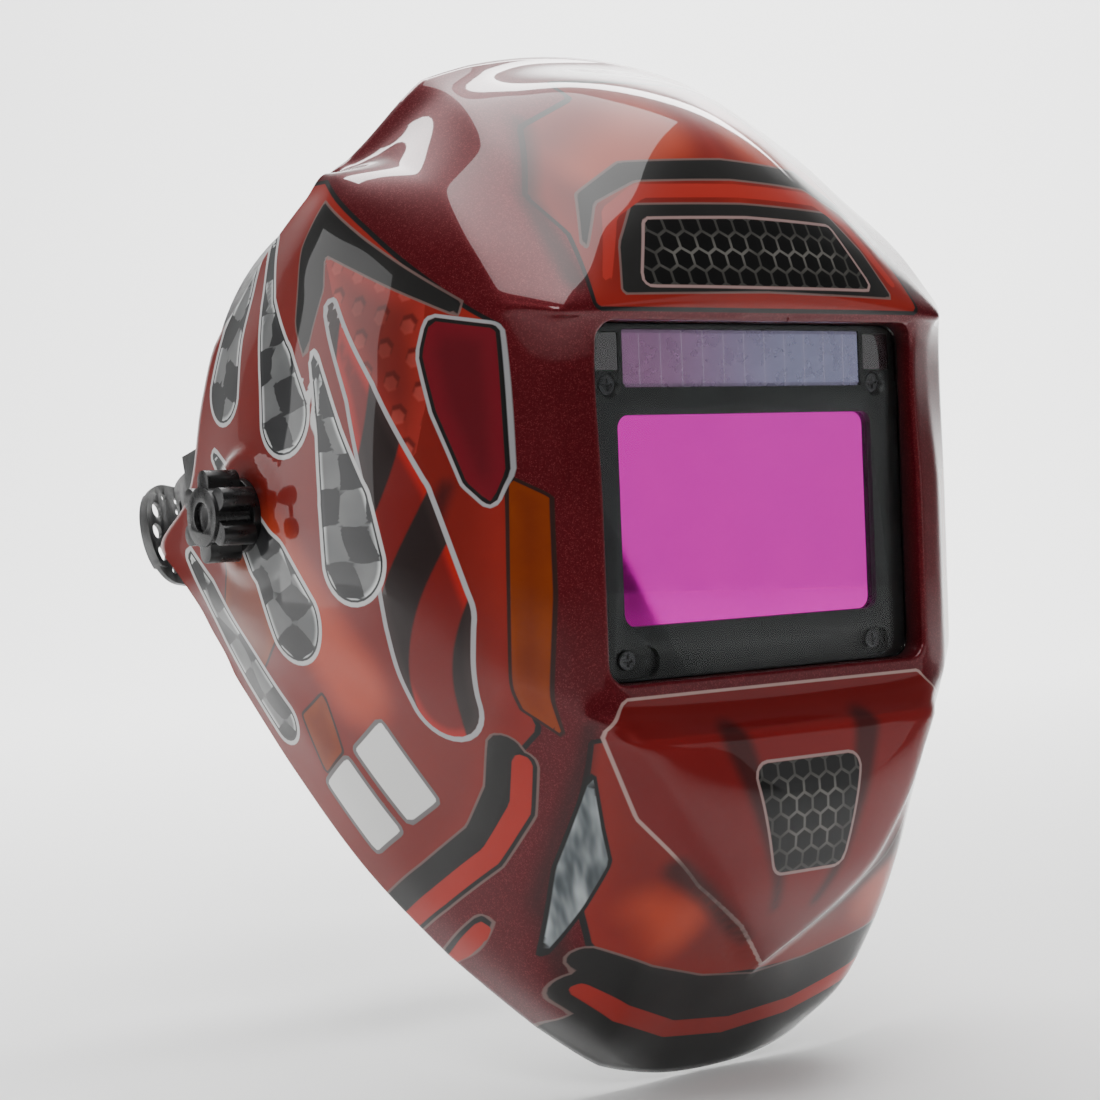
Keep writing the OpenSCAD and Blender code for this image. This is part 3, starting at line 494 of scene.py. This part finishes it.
BLACK, SOOT = (0.004, 0.004, 0.0043), (0.011, 0.011, 0.0115)
MATERIALS = {
    "shell_paint": shell_paint,
    "cover_clear": lambda n: clear_sheet(n, (0.93, 0.96, 0.96)),
    "frame_black": lambda n: moulded(n, (0.008, 0.0095, 0.0095), (0.015, 0.017, 0.017),
                                     (0.36, 0.46), 1500, 0.2, specular_ior_level=0.35),
    "filter_magenta": mirror_filter,
    "lcd_stack": lcd_glass,
    "solar_cells": solar_strip,
    "sensor_window": sensor_window,
    "board_green": circuit,
    "cell_steel": lambda n: metal(n, (0.50, 0.50, 0.52), (0.68, 0.68, 0.69)),
    "cap_grey": lambda n: moulded(n, (0.035, 0.036, 0.038), (0.055, 0.056, 0.058), (0.4, 0.55), 1200),
    "screw_steel": lambda n: metal(n, (0.035, 0.035, 0.037), (0.10, 0.10, 0.105), (0.25, 0.45)),
    "knob_black": lambda n: moulded(n, BLACK, SOOT, (0.24, 0.36), 1500, 0.12, specular_ior_level=0.4),
    "nut_brass": lambda n: metal(n, (0.55, 0.36, 0.12), (0.74, 0.54, 0.22), (0.2, 0.35)),
    "washer_grey": lambda n: moulded(n, (0.04, 0.04, 0.042), (0.07, 0.07, 0.072), (0.5, 0.65), 900),
    "button_red": lambda n: moulded(n, (0.28, 0.008, 0.008), (0.42, 0.016, 0.014), (0.3, 0.42), 1400, 0.15),
    "strap_black": lambda n: moulded(n, BLACK, SOOT, (0.34, 0.5), 1700, 0.22, specular_ior_level=0.4),
    "pad_grey": lambda n: foam_cloth(n, (0.012, 0.012, 0.013), (0.05, 0.05, 0.053)),
}
made_materials = {}


def material(slot):
    if slot not in made_materials:
        made_materials[slot] = MATERIALS[slot](slot)
    return made_materials[slot]


def link(name, mesh, slot):
    piece = bpy.data.objects.new(name, mesh)
    bpy.context.scene.collection.objects.link(piece)
    mesh.materials.clear()
    mesh.materials.append(material(slot))
    return piece


def stands_for(piece, node):
    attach(piece, body_of[node])
    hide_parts(node)


# ---------------------------------------------------------------- shell surface
# Rows from chin to crown, each with eight points from the middle to the rear edge.
SHELL_ROWS = """
0,41,-173 20,40.5,-171.5 41,42.5,-166 57,52,-153 75.5,70,-131 92,88,-105 103,109,-76 110,134,-45
0,31,-158 20,30.5,-157.5 46,29,-154 60,38,-144.5 78,60,-122 94,82,-96 105,105,-67 111,138,-38
0,16,-138.4 20,16.3,-138 48,16.5,-136 62,28.5,-128 81,53,-106 97,77,-82 108,102,-55 112,145,-30
0,-8.5,-106 20,-8,-106 44,-3.5,-105 61.5,12,-101 83,44,-88 98.5,70,-68 109.5,100,-45 112.6,150,-24
0,-11.5,-82 22,-11,-82 47,-7.5,-81 65,5.5,-78 85,31,-70 101,61,-53 111.5,97,-35 113,157,-18
0,-9,-63 30,-8.2,-62 60,-5,-58 74,5,-55 88,19,-50 103,51,-40 112.5,95,-24 113,166,-11.5
0,0,-54.5 30,0,-54 61.8,0,-52.8 73.7,3.45,-51.5 87,13.8,-45 103,47,-28 113,94,-12 112,178,-4
0,0,5.5 30,0,5.5 61.8,0,5.5 73.7,3.45,5.5 87,13.4,5.5 104,47,7 114,98,9 111,160,12
0,0,58 30,0,58 61.8,0,58 73.7,3.45,58 87,13.4,58 104,44,46 112.5,94,44 110,149,43
0,-2.5,61.5 30,-2.3,61 61.8,-0.8,59.6 74.6,0.6,59 88,14,63.8 104,46,62 111.5,90,60 109,141,60
0,-3.5,64.6 30,-3.2,64 61.8,-1.2,62 73.9,0.2,61.2 87,15.5,66.8 102,46,70 109.5,86,71 107,127,73
0,8,93 28,10,92 52,14,88 66.5,18,83 86,28,82 98,50,84 106.5,79,85 105,110,88
0,27,120 26,30,118 48,37,112.5 62.5,45.4,111.5 82,50,101 92,62,100 99.5,79,100 99,97,102
0,52,137 24,54,135.5 44,60,131 60,65,126 81,70,110.5 88,77,109.5 92.5,84,109 94,92,109.5
0,80,146 24,80.5,144.8 43,81,141.5 58.5,83,136.6 80,86,116 86,88,112 89,89,110.5 91.5,90.5,109
0,86,150.5 24,86.5,149 43.5,87,145.4 60,89,140 82,91,118.5 87.5,92,113.5 90.5,92.5,111.5 93,93,109.5
"""
ROW_SHARP = [0, 0, 0, 0.5, 0, 1, 1, 0, 0.6, 1, 1, 0, 0, 0, 0.8, 0]
COLUMN_SHARP = [0, 0, 0.7, 1, 1, 0, 0, 0]
COLUMN_FADE = [0.6, 0.7, 0.8, 0.9, 1, 1, 1, 1, 1, 1, 1, 1, 1, 1, 0.7, 0.6]
# Spacing of the shell's mesh, and the smoothing passes that round its creases
GRID = 1.95
CREASE_PASSES = 7
# A distance that stands for "no hole near here"
NOWHERE = 99


def curve(points, sharp, steps):
    """Hermite curve through points; a sharpness of 1 makes a crease there."""
    sharp = sharp[..., None]
    gap = np.maximum(np.linalg.norm(np.diff(points, axis=0), axis=-1, keepdims=True), 1e-3)
    ahead = np.diff(points, axis=0) / gap
    leave, arrive = np.empty_like(points), np.empty_like(points)
    leave[0] = arrive[0] = ahead[0]
    leave[-1] = arrive[-1] = ahead[-1]
    blended = (ahead[1:] * gap[:-1] + ahead[:-1] * gap[1:]) / (gap[1:] + gap[:-1])
    leave[1:-1] = blended * (1 - sharp[1:-1]) + ahead[1:] * sharp[1:-1]
    arrive[1:-1] = blended * (1 - sharp[1:-1]) + ahead[:-1] * sharp[1:-1]
    made = []
    for i, count in enumerate(steps):
        for t in np.arange(count) / count:
            start = points[i] * (2 * t**3 - 3 * t * t + 1) + leave[i] * gap[i] * (t**3 - 2 * t * t + t)
            end = points[i + 1] * (3 * t * t - 2 * t**3) + arrive[i + 1] * gap[i] * (t**3 - t * t)
            made.append(start + end)
    made.append(points[-1])
    return np.array(made)


def steps_for(points, axis):
    lengths = np.linalg.norm(np.diff(points, axis=axis), axis=-1).mean(axis=1 - axis)
    return [max(2, round(length / GRID)) for length in lengths]


def shell_grid():
    """The outside of the shell as a grid of points, right edge to left edge in each row."""
    net = np.array([[[float(n) for n in point.split(",")] for point in row.split()]
                    for row in SHELL_ROWS.strip().splitlines()])
    row_steps, column_steps = steps_for(net, 0), steps_for(net, 1)
    crease = np.array(ROW_SHARP, float)[:, None] * (np.arange(8) < 5)
    columns = curve(net, crease, row_steps).transpose(1, 0, 2)
    fade_points = np.array(COLUMN_FADE)[:, None, None] * np.array([1.0, 0, 0])
    fade = curve(fade_points, np.ones((len(COLUMN_FADE), 1)), row_steps)[:, 0, 0]
    mirrored = np.concatenate([columns[1:2] * [-1, 1, 1], columns])
    sharp = np.concatenate([[0], COLUMN_SHARP])[:, None] * fade[None, :]
    half = curve(mirrored, sharp, [1] + column_steps)[1:].transpose(1, 0, 2)
    grid = np.concatenate([half[:, :0:-1] * [-1, 1, 1], half], axis=1)
    for _ in range(CREASE_PASSES):
        around = (grid[:-2, 1:-1] + grid[2:, 1:-1] + grid[1:-1, :-2] + grid[1:-1, 2:]) / 4
        grid[1:-1, 1:-1] += 0.5 * (around - grid[1:-1, 1:-1])
    x, z = grid[..., 0], grid[..., 2]
    half_width = 66 * np.clip((z + 139) / 79, 0, 1) ** 0.8
    edge = np.minimum(half_width - abs(x), -60 - z)
    proud = np.where((z < -139) | (z > -60), 0, 2.4 * np.clip(edge / 3.5, 0, 1))
    grid[..., 1] -= proud
    return grid


def grid_normals(grid):
    across = np.gradient(grid, axis=1)
    upward = np.gradient(grid, axis=0)
    normal = np.cross(across, upward)
    return normal / np.linalg.norm(normal, axis=-1, keepdims=True)


def rounded_rectangle(x, z):
    """Distance outside the visor opening and the direction away from it, in the plane of the rim."""
    qx = abs(x) - (OPEN_W / 2 - OPEN_R)
    qz = abs(z - OPEN_Z) - (OPEN_H / 2 - OPEN_R)
    outside = np.hypot(np.maximum(qx, 0), np.maximum(qz, 0))
    distance = outside + np.minimum(np.maximum(qx, qz), 0) - OPEN_R
    corner = (qx > 0) & (qz > 0)
    gx = np.where(corner, qx / np.maximum(outside, 1e-6), (qx > qz).astype(float)) * np.sign(x)
    gz = np.where(corner, qz / np.maximum(outside, 1e-6), (qx <= qz).astype(float)) * np.sign(z - OPEN_Z)
    return distance, gx, gz


def smooth_step(t):
    t = np.clip(t, 0, 1)
    return t * t * (3 - 2 * t)


def tube(axis, place, radius, hole, low, high, sides=32):
    """A round post with a blind hole and broken edges, as vertices and faces."""
    profile = [(hole, low + 1), (hole, high), (radius - 0.4, high), (radius, high - 0.4), (radius, low)]
    verts, faces = [], []
    for i in range(sides):
        angle = 2 * math.pi * i / sides
        for r, level in profile:
            a, b = place[0] + r * math.cos(angle), place[1] + r * math.sin(angle)
            verts.append((a, level, b) if axis == "y" else (level, a, b))
    n = len(profile)
    for i in range(sides):
        j = (i + 1) % sides
        faces += [(i * n + k, i * n + k + 1, j * n + k + 1, j * n + k) for k in range(n - 1)]
    return verts, faces


def chamfered_block(low, high, cut=0.5):
    bm = bmesh.new()
    bmesh.ops.create_cube(bm, size=1)
    for v in bm.verts:
        v.co = [low[i] + (v.co[i] + 0.5) * (high[i] - low[i]) for i in range(3)]
    bmesh.ops.bevel(bm, geom=bm.edges[:], offset=cut, segments=2, affect="EDGES", profile=0.5)
    verts = [tuple(v.co) for v in bm.verts]
    faces = [tuple(v.index for v in f.verts) for f in bm.faces]
    bm.free()
    return verts, faces


def build_shell():
    """Two skins of the shell with the visor opening, the bores and the rounded free edge cut clean."""
    grid = shell_grid() - RIM
    rows, cols = grid.shape[:2]
    x, y, z = grid[..., 0], grid[..., 1], grid[..., 2]
    # flat pads round the pivots
    away = np.hypot(y, z)
    flat = smooth_step((PAD_R + 4 - away) / 4)
    beside = abs(x) > 90
    lining_x = np.where(beside, flat, 0)
    grid[..., 0] = np.where(beside, x * (1 - flat) + np.sign(x) * PAD_OUT * flat, x)
    normal = grid_normals(grid)
    inner = grid - normal * WALL
    inner[..., 0] = inner[..., 0] * (1 - lining_x) + np.sign(x) * PAD_IN * lining_x
    # hole fields: negative where the sheet is cut away
    opening, gx, gz = rounded_rectangle(grid[..., 0], grid[..., 2])
    in_front = grid[..., 1] < -95
    opening = np.where(in_front, opening - LIP, NOWHERE)
    bore = np.where(abs(grid[..., 0]) > 100, np.hypot(grid[..., 1], grid[..., 2]) - BORE, NOWHERE)
    index = np.arange(rows * cols).reshape(rows, cols)
    quads = np.stack([index[:-1, :-1], index[:-1, 1:], index[1:, 1:], index[1:, :-1]], -1).reshape(-1, 4)
    outer = grid.reshape(-1, 3)
    inner = inner.reshape(-1, 3)
    opening, bore, gx, gz = (a.reshape(-1) for a in (opening, bore, gx, gz))
    cut = (opening[quads].mean(1) < 0) | (bore[quads].mean(1) < 0)
    kept, gone = quads[~cut], quads[cut]
    border = np.intersect1d(kept, gone)
    for v in border:
        if opening[v] < NOWHERE / 2:
            outer[v, 0] -= gx[v] * opening[v]
            outer[v, 2] -= gz[v] * opening[v]
            inner[v] = outer[v] + [gx[v] * (FLANGE - LIP), WALL, gz[v] * (FLANGE - LIP)]
        else:
            scale = BORE / math.hypot(outer[v, 1], outer[v, 2])
            outer[v, 1:] *= scale
            inner[v] = [math.copysign(PAD_IN, outer[v, 0]), outer[v, 1], outer[v, 2]]
    # the free edge: pull both skins in a little and put the rounded edge where they ended
    free = np.unique(np.concatenate([index[0], index[-1], index[:, 0], index[:, -1]]))
    inward = {}
    for v in free:
        r, c = divmod(v, cols)
        step = np.array(outer[index[min(max(r, 2), rows - 3), min(max(c, 2), cols - 3)]]) - outer[v]
        inward[v] = step / np.linalg.norm(step)
    verts = [tuple(p) for p in outer] + [tuple(p) for p in inner]
    count = len(outer)
    faces = [tuple(q) for q in kept] + [tuple(int(v) + count for v in q[::-1]) for q in kept]

    # walls of each opening: find the border edges, then run a profile round them
    edges = {}
    for quad in kept:
        for a, b in zip(quad, np.roll(quad, -1)):
            edges[(int(a), int(b))] = edges.get((int(a), int(b)), 0) + 1
    single = [(a, b) for a, b in edges if (b, a) not in edges]
    profiles = {}
    on_border = set(int(v) for v in border)
    on_free = set(int(v) for v in free)

    def profile(v):
        if v in profiles:
            return profiles[v]
        made = []
        if v in on_border and opening[v] < NOWHERE / 2:
            foot = outer[v] - np.array([gx[v], 0, gz[v]]) * LIP
            for angle in (30, 60, 90):
                t = math.radians(angle)
                reach, sink = LIP * (1 - math.sin(t)), LIP * (1 - math.cos(t))
                made.append(foot + [gx[v] * reach, sink, gz[v] * reach])
            for reach, rise in ((0, 0.6), (0.6, 0), (FLANGE - 0.6, 0), (FLANGE, 0.6)):
                made.append(np.array([foot[0] + gx[v] * reach, FLANGE_BACK - rise, foot[2] + gz[v] * reach]))
        elif v in on_free:
            low, high = outer[v].copy(), inner[v].copy()
            outer_edge, inner_edge = low + inward[v] * 0.7, high + inward[v] * 0.7
            verts[v], verts[v + count] = tuple(outer_edge), tuple(inner_edge)
            made += [low * 0.85 + high * 0.15 + inward[v] * 0.2, low * 0.6 + high * 0.4]
            made += [low * 0.4 + high * 0.6, low * 0.15 + high * 0.85 + inward[v] * 0.2]
        first = len(verts)
        verts.extend(tuple(p) for p in made)
        profiles[v] = [v] + list(range(first, first + len(made))) + [v + count]
        return profiles[v]

    for a, b in single:
        pa, pb = profile(a), profile(b)
        if len(pa) == len(pb):
            faces += [(pb[k], pa[k], pa[k + 1], pb[k + 1]) for k in range(len(pa) - 1)]
    painted = len(verts)
    # posts for the retaining frame and the stops for the tilt lever
    extra = [tube("y", (s * 74, h), 3.6, 1.3, -106.6, -100) for s in (-1, 1) for h in (-41, 41)]
    extra += [chamfered_block((s * 109.6 - 2, -31, 14), (s * 109.6 + 2, -27, 22)) for s in (-1, 1)]
    for more_verts, more_faces in extra:
        first = len(verts)
        verts += more_verts
        faces += [tuple(first + v for v in f) for f in more_faces]
    mesh = bpy.data.meshes.new("face_shell")
    mesh.from_pydata([tuple(c * MM for c in p) for p in verts], [], faces)
    mesh.validate()
    paint_shell(mesh, np.array([tuple(p) for p in verts]), count, painted)
    bm = bmesh.new()
    bm.from_mesh(mesh)
    loose = [v for v in bm.verts if not v.link_faces]
    bmesh.ops.delete(bm, geom=loose, context="VERTS")
    bmesh.ops.recalc_face_normals(bm, faces=bm.faces[:])
    bm.to_mesh(mesh)
    bm.free()
    mesh.shade_smooth()
    mesh.set_sharp_from_angle(angle=math.radians(50))
    shell = link("face_shell", mesh, "shell_paint")
    stands_for(shell, "shell")


# ---------------------------------------------------------------- the paint scheme, as distance fields
def chain(spots, points):
    """Distance to a run of round cones; each point is (across, up, radius)."""
    best = np.full(len(spots), 99.0)
    for a, b in zip(points, points[1:]):
        start, step = np.array(a[:2], float), np.subtract(b[:2], a[:2]).astype(float)
        t = np.clip((spots - start) @ step / (step @ step), 0, 1)
        reach = np.linalg.norm(spots - start - t[:, None] * step, axis=1)
        best = np.minimum(best, reach - (a[2] + (b[2] - a[2]) * t))
    return best


def outline(spots, points, soften=0.0):
    """Signed distance to a closed outline, negative inside; soften rounds its corners."""
    best = np.full(len(spots), 1e9)
    inside = np.zeros(len(spots), bool)
    for a, b in zip(points, points[1:] + points[:1]):
        a, b = np.array(a, float), np.array(b, float)
        step = b - a
        t = np.clip((spots - a) @ step / (step @ step), 0, 1)
        best = np.minimum(best, np.linalg.norm(spots - a - t[:, None] * step, axis=1))
        crosses = (a[1] > spots[:, 1]) != (b[1] > spots[:, 1])
        level = np.where(abs(step[1]) < 1e-9, 1e-9, step[1])
        inside ^= crosses & (spots[:, 0] < a[0] + (spots[:, 1] - a[1]) / level * step[0])
    return np.where(inside, -best, best) - soften


def joined(*fields):
    return np.minimum.reduce(fields)


# Side chart: back from the rim, up from the lens centre.
DROPS = [
    [(131, 45, 10), (127, 62, 7), (119, 80, 3), (113, 92, 1.6)],
    [(92, 36, 12.5), (96, 50, 9.5), (104, 70, 4), (107, 90, 1.6)],
    [(63, -9, 12), (65, 8, 10), (70, 30, 5), (76, 52, 1.6)],
    [(92, -27, 12), (103, -8, 9), (121, 12, 4.5), (138, 25, 1.6)],
    [(108, -58, 6.5), (122, -42, 6), (142, -18, 4), (156, -6, 1.8)],
]
SIDE_FIELD = [(14, 57), (60, 88), (88, 106), (160, 106), (190, -10), (130, -70), (90, -125), (80, -118),
              (62, -108), (40, -92), (30, -78), (22, -66), (13, -58)]
LONG_DROP = [(37, -50, 10.5), (38, -25, 13.5), (45, 8, 10), (56, 40, 5), (69, 66, 2)]
WINDOW = [(31, 58), (16, 55), (15, 16), (18, 9), (23, 14), (30, 34), (33, 50)]
DIMPLES = [(73, 82), (35, 66), (34, 40), (39, 22), (50, 38), (64, 62)]
HOOD = [(83, 100), (60, 86), (23, 64.5), (24, 60), (36, 65.5), (60, 76), (74, 82), (73, 72), (80, 50),
        (86, 62), (87, 86)]
CHEEK = [(24, -64, 5), (30, -78, 5.5), (42, -92, 5.5), (62, -105, 5.5), (84, -118, 5.5)]
CHEEK_BAR = [(21, -68, 2.5), (27, -82, 2.8), (41, -97, 2.8), (63, -111, 2.8), (84, -123, 2.5)]
CHEEK_LOW = [(50, -120, 4.5), (74, -136, 4.5)]
CHEEK_LOW_BAR = [(51, -120.5, 2.6), (74, -136.5, 2.6)]
BARS = [[(64, -58), (76, -66), (64, -86), (54, -80)], [(82, -70), (92, -77), (80, -96), (70, -90)]]
AMBER_SIDE = [[(112, -2), (104, -32), (118, -44), (132, -26), (126, -4)],
              [(86, -50), (96, -56), (92, -72), (84, -66)]]
AMBER_FACET = [(6, 8), (13, 14), (14.5, -52), (8, -60), (6, -20)]

# Front chart: out from the middle, up from the lens centre.
VEE = [(-2, -138), (17, -121), (37, -106), (55, -85), (66, -60), (58, -51), (-2, -51)]
BLADE = [(66.8, -72), (62.5, -88), (59.5, -98), (62, -112), (65.5, -127), (67.6, -100)]
CHIN_RED = [(-2, -139), (20, -138), (42, -133), (58, -124), (66, -100), (68, -62), (-2, -62)]
CHIN_BAND = [(-2, -147, 7), (22, -144, 7), (44, -137, 6.5), (58, -128, 4)]
CHIN_BAR = [(-2, -158, 2.8), (24, -155, 2.8), (46, -146, 2.8), (57, -138, 2)]
CHIN_SKIRT = [(-2, -162), (26, -159), (45, -151.5), (55, -143), (58, -150), (52, -190), (-2, -190)]
SNOUT_GRILLE = [(-2, -76), (16, -76), (10, -101), (-2, -101)]
BROW_GRILLE = [(-2, 70), (42, 70), (35, 86), (-2, 87)]
BROW_FRAME = [(-2, 67), (52, 66), (47, 80), (38, 92), (-2, 93)]
BROW_BAR = [(-2, 98, 2.2), (34, 97, 2.2), (46, 90, 2.0), (56, 70, 1.4)]
BROW_BAND = [(-2, 105, 3.6), (34, 103.5, 3.4), (50, 95, 2.4), (58, 80, 1.0)]
BROW_FIELD = [(-2, 63), (61, 63), (58, 84), (62, 96), (50, 118), (30, 128), (30, 134), (-2, 134)]


def paint_shell(mesh, points, skin, painted):
    """Write the paint scheme onto the shell's vertices as named distances in millimetres."""
    spots = points + RIM
    out = abs(spots[:, 0])
    side = np.stack([spots[:, 1], spots[:, 2]], 1)
    front = np.stack([out, spots[:, 2]], 1)
    off_side = 74 - out
    off_front = out - 70

    def on_side(field):
        return np.maximum(field, off_side)

    def on_front(field):
        return np.maximum(field, off_front)

    fields = {}
    fields["side"] = joined(on_side(outline(side, SIDE_FIELD)), on_front(outline(front, CHIN_RED)),
                            on_front(outline(front, BROW_FIELD, 2)))
    fields["glow"] = joined(
        chain(front, [(18, 118, 10), (44, 104, 6)]),
        on_side(chain(side, [(70, -45, 12), (100, 0, 6)])),
        on_front(chain(front, [(40, -118, 8), (48, -112, 4)])))
    amber = [outline(side, shape, 1) for shape in AMBER_SIDE] + [outline(side, AMBER_FACET)]
    fields["orange"] = on_side(joined(*amber))
    fields["vee"] = on_front(outline(front, VEE))
    fields["shade"] = joined(
        on_front(chain(front, [(26, -64, 4), (8, -116, 0.5)])),
        on_front(chain(front, [(44, -101, 2.5), (20, -121, 1), (12, -126, 0.3)])),
        on_front(chain(front, [(69, -58, 0.6), (69, -110, 0.6), (60, -136, 0.6)])),
        chain(front, [(66, 70, 2.5), (64, 96, 1.5), (50, 122, 1)]),
        on_side(chain(side, [(40, -10, 2), (30, 12, 1)])))
    fields["dimple"] = on_side(outline(side, DIMPLES, 1))
    fields["black"] = joined(
        on_side(outline(side, HOOD)), on_side(chain(side, CHEEK)),
        on_side(chain(side, CHEEK_BAR)) - 1.6, on_side(chain(side, CHEEK_LOW)),
        on_front(chain(front, CHIN_BAND)), on_front(chain(front, CHIN_BAR)) - 4,
        outline(front, CHIN_SKIRT), on_front(outline(front, BROW_FRAME, 1)), chain(front, BROW_BAND))
    fields["redbar"] = joined(on_side(chain(side, CHEEK_BAR)), on_side(chain(side, CHEEK_LOW_BAR)),
                              on_front(chain(front, CHIN_BAR)), chain(front, BROW_BAR))
    fields["long"] = on_side(chain(side, LONG_DROP))
    lean = side @ np.array([0.94, 0.34])
    fields["slash"] = np.sin((lean + 4 * np.sin(side[:, 1] / 17)) / 4.2)
    fields["panel"] = on_side(outline(side, WINDOW, 1.5))
    drops = [on_side(chain(side, drop)) for drop in DROPS]
    fields["drop"] = joined(*drops)
    nearest = np.argmin(drops, axis=0)
    fields["check"] = np.zeros(len(spots))
    for k, drop in enumerate(DROPS):
        along = np.subtract(drop[2][:2], drop[0][:2]).astype(float)
        along /= np.linalg.norm(along)
        u = (side - drop[0][:2]) @ along
        v = (side - drop[0][:2]) @ np.array([-along[1], along[0]])
        wave = v + 2.2 * np.sin(u / 6)
        value = np.sin(math.pi * (u + 1.5 * np.sin(v / 5)) / 11) * np.sin(math.pi * wave / 11)
        fields["check"] = np.where(nearest == k, value, fields["check"])
    fields["white"] = joined(*(on_side(outline(side, bar, 1.2)) for bar in BARS))
    fields["blade"] = on_front(outline(front, BLADE, 0.4))
    grilles = joined(outline(front, SNOUT_GRILLE, 4), outline(front, BROW_GRILLE, 2))
    fields["grille"] = on_front(grilles)
    lining = np.ones(len(points))
    lining[:skin] = 0
    shallow = (np.arange(len(points)) >= 2 * skin) & (np.arange(len(points)) < painted)
    lining[shallow & (points[:, 1] < -108)] = 0
    fields["lining"] = lining
    for name, values in fields.items():
        data = mesh.attributes.new(name, "FLOAT", "POINT").data
        limit = 1 if name in ("check", "slash", "lining") else 30
        data.foreach_set("value", np.clip(values, -limit, limit).astype(np.float32))


# ---------------------------------------------------------------- soft pads of the headgear
TILT = math.radians(13)
BAND_Y, BAND_Z = 7.0, 23.4


def from_headband(x, y, z):
    """A point of the tilted headband plane, in millimetres, as a place in the frame."""
    return (x * MM, (BAND_Y + y * math.cos(TILT) + z * math.sin(TILT)) * MM,
            (BAND_Z - y * math.sin(TILT) + z * math.cos(TILT)) * MM)


def curved_pad(node, radius, thick, half_height, first, last, centre_y, channels):
    """A stitched foam pad round the head: crowned between its seams, pinched at its ends and channels."""
    along, around = 150, 36
    verts, faces = [], []
    channel_at = [first + (last - first) * k / channels for k in range(1, channels)]
    arc = math.radians(last - first) * radius
    for i in range(along + 1):
        t = i / along
        angle = first + (last - first) * t
        from_end = min(t, 1 - t) * arc
        end = math.sqrt(max(0.0, 1 - max(0.0, 1 - from_end / 9) ** 2))
        pinch = max(math.exp(-((angle - a) * math.pi / 180 * radius / 1.6) ** 2) for a in channel_at)
        ripple = 0.25 * math.sin(t * arc / 2.1) * (1 - pinch)
        tall = half_height * (0.62 + 0.38 * end) - 1.1 * pinch
        deep = thick / 2 * (0.30 + 0.70 * end) * (1 - 0.45 * pinch)
        for k in range(around):
            turn = 2 * math.pi * k / around
            c, s = math.cos(turn), math.sin(turn)
            up = math.copysign(abs(s) ** 0.75, s) * (tall + ripple * abs(s))
            out = math.copysign(abs(c) ** 0.9, c) * deep
            hem = 0.5 * math.exp(-((abs(up) - tall + 3.2) / 0.8) ** 2)
            out -= math.copysign(min(hem, abs(out) * 0.6), c)
            r = radius + out
            a = math.radians(angle)
            verts.append(from_headband(-r * math.sin(a), centre_y + r * math.cos(a), up))
    for i in range(along):
        for k in range(around):
            n = (k + 1) % around
            faces.append((i * around + k, i * around + n, (i + 1) * around + n, (i + 1) * around + k))
    faces.append(tuple(range(around)))
    faces.append(tuple(along * around + k for k in range(around))[::-1])
    mesh = bpy.data.meshes.new(node + "_foam")
    mesh.from_pydata(verts, [], faces)
    bm = bmesh.new()
    bm.from_mesh(mesh)
    bmesh.ops.recalc_face_normals(bm, faces=bm.faces[:])
    bm.to_mesh(mesh)
    bm.free()
    mesh.shade_smooth()
    pad = link(node + "_foam", mesh, slot_of[node])
    stands_for(pad, node)


def build_pads():
    curved_pad("sweatband", 89.2, 5.6, 16.6, 122, 238, 20, 5)
    curved_pad("back_pad", 83.4, 5.4, 14.6, -32, 32, 60, 3)


# ---------------------------------------------------------------- CAD pieces with broken edges
EDGE = {
    "filter_front_housing": 0.35, "filter_rear_housing": 0.4, "retaining_frame": 0.6,
    "left_tension_knob": 0.7, "right_tension_knob": 0.7, "left_side_arm": 0.5, "right_side_arm": 0.5,
    "left_tilt_stop": 0.4, "right_tilt_stop": 0.4, "left_pivot_bolt": 0.3, "right_pivot_bolt": 0.3,
    "left_friction_washer": 0.2, "right_friction_washer": 0.2, "left_knob_nut": 0.2, "right_knob_nut": 0.2,
    "front_band": 0.35, "back_plate": 0.5, "ratchet_housing": 0.8, "ratchet_knob": 0.6,
    "left_battery_cap": 0.3, "right_battery_cap": 0.3, "coin_cells": 0.25, "shade_knob": 0.25,
    "sensitivity_knob": 0.25, "delay_knob": 0.25, "test_button": 0.25, "mode_switch": 0.2,
    "crown_pin": 0.3, "strap_rivets": 0.3, "arm_rivets": 0.3, "ratchet_screws": 0.2,
    "filter_screws": 0.12, "retainer_screws": 0.12, "crown_strap_left": 0.3, "crown_strap_right": 0.3,
}


def refine(node, width):
    """A copy of a CAD piece with its sharp edges broken, as a mould or a lathe leaves them."""
    bm = bmesh.new()
    bm.from_mesh(nodes[node].data)
    bmesh.ops.remove_doubles(bm, verts=bm.verts[:], dist=2e-6)
    bmesh.ops.dissolve_limit(bm, angle_limit=math.radians(1.2), verts=bm.verts[:], edges=bm.edges[:])
    mesh = bpy.data.meshes.new(node + "_finished")
    bm.to_mesh(mesh)
    bm.free()
    piece = link(node + "_finished", mesh, slot_of[node])
    bevel = piece.modifiers.new("edges", "BEVEL")
    bevel.width = width * MM
    bevel.segments = 2
    bevel.limit_method = "ANGLE"
    bevel.angle_limit = math.radians(38)
    bevel.use_clamp_overlap = True
    bevel.harden_normals = False
    bpy.context.view_layer.update()
    done = bpy.data.meshes.new_from_object(piece.evaluated_get(bpy.context.evaluated_depsgraph_get()))
    piece.modifiers.clear()
    piece.data = done
    done.shade_smooth()
    done.set_sharp_from_angle(angle=math.radians(32))
    stands_for(piece, node)


def finish_cad():
    for node, width in EDGE.items():
        refine(node, width)
    for node, piece in nodes.items():
        piece.data.materials.clear()
        piece.data.materials.append(material(slot_of[node]))


add_camera()
add_stage()
add_lights()
build_shell()
build_pads()
finish_cad()
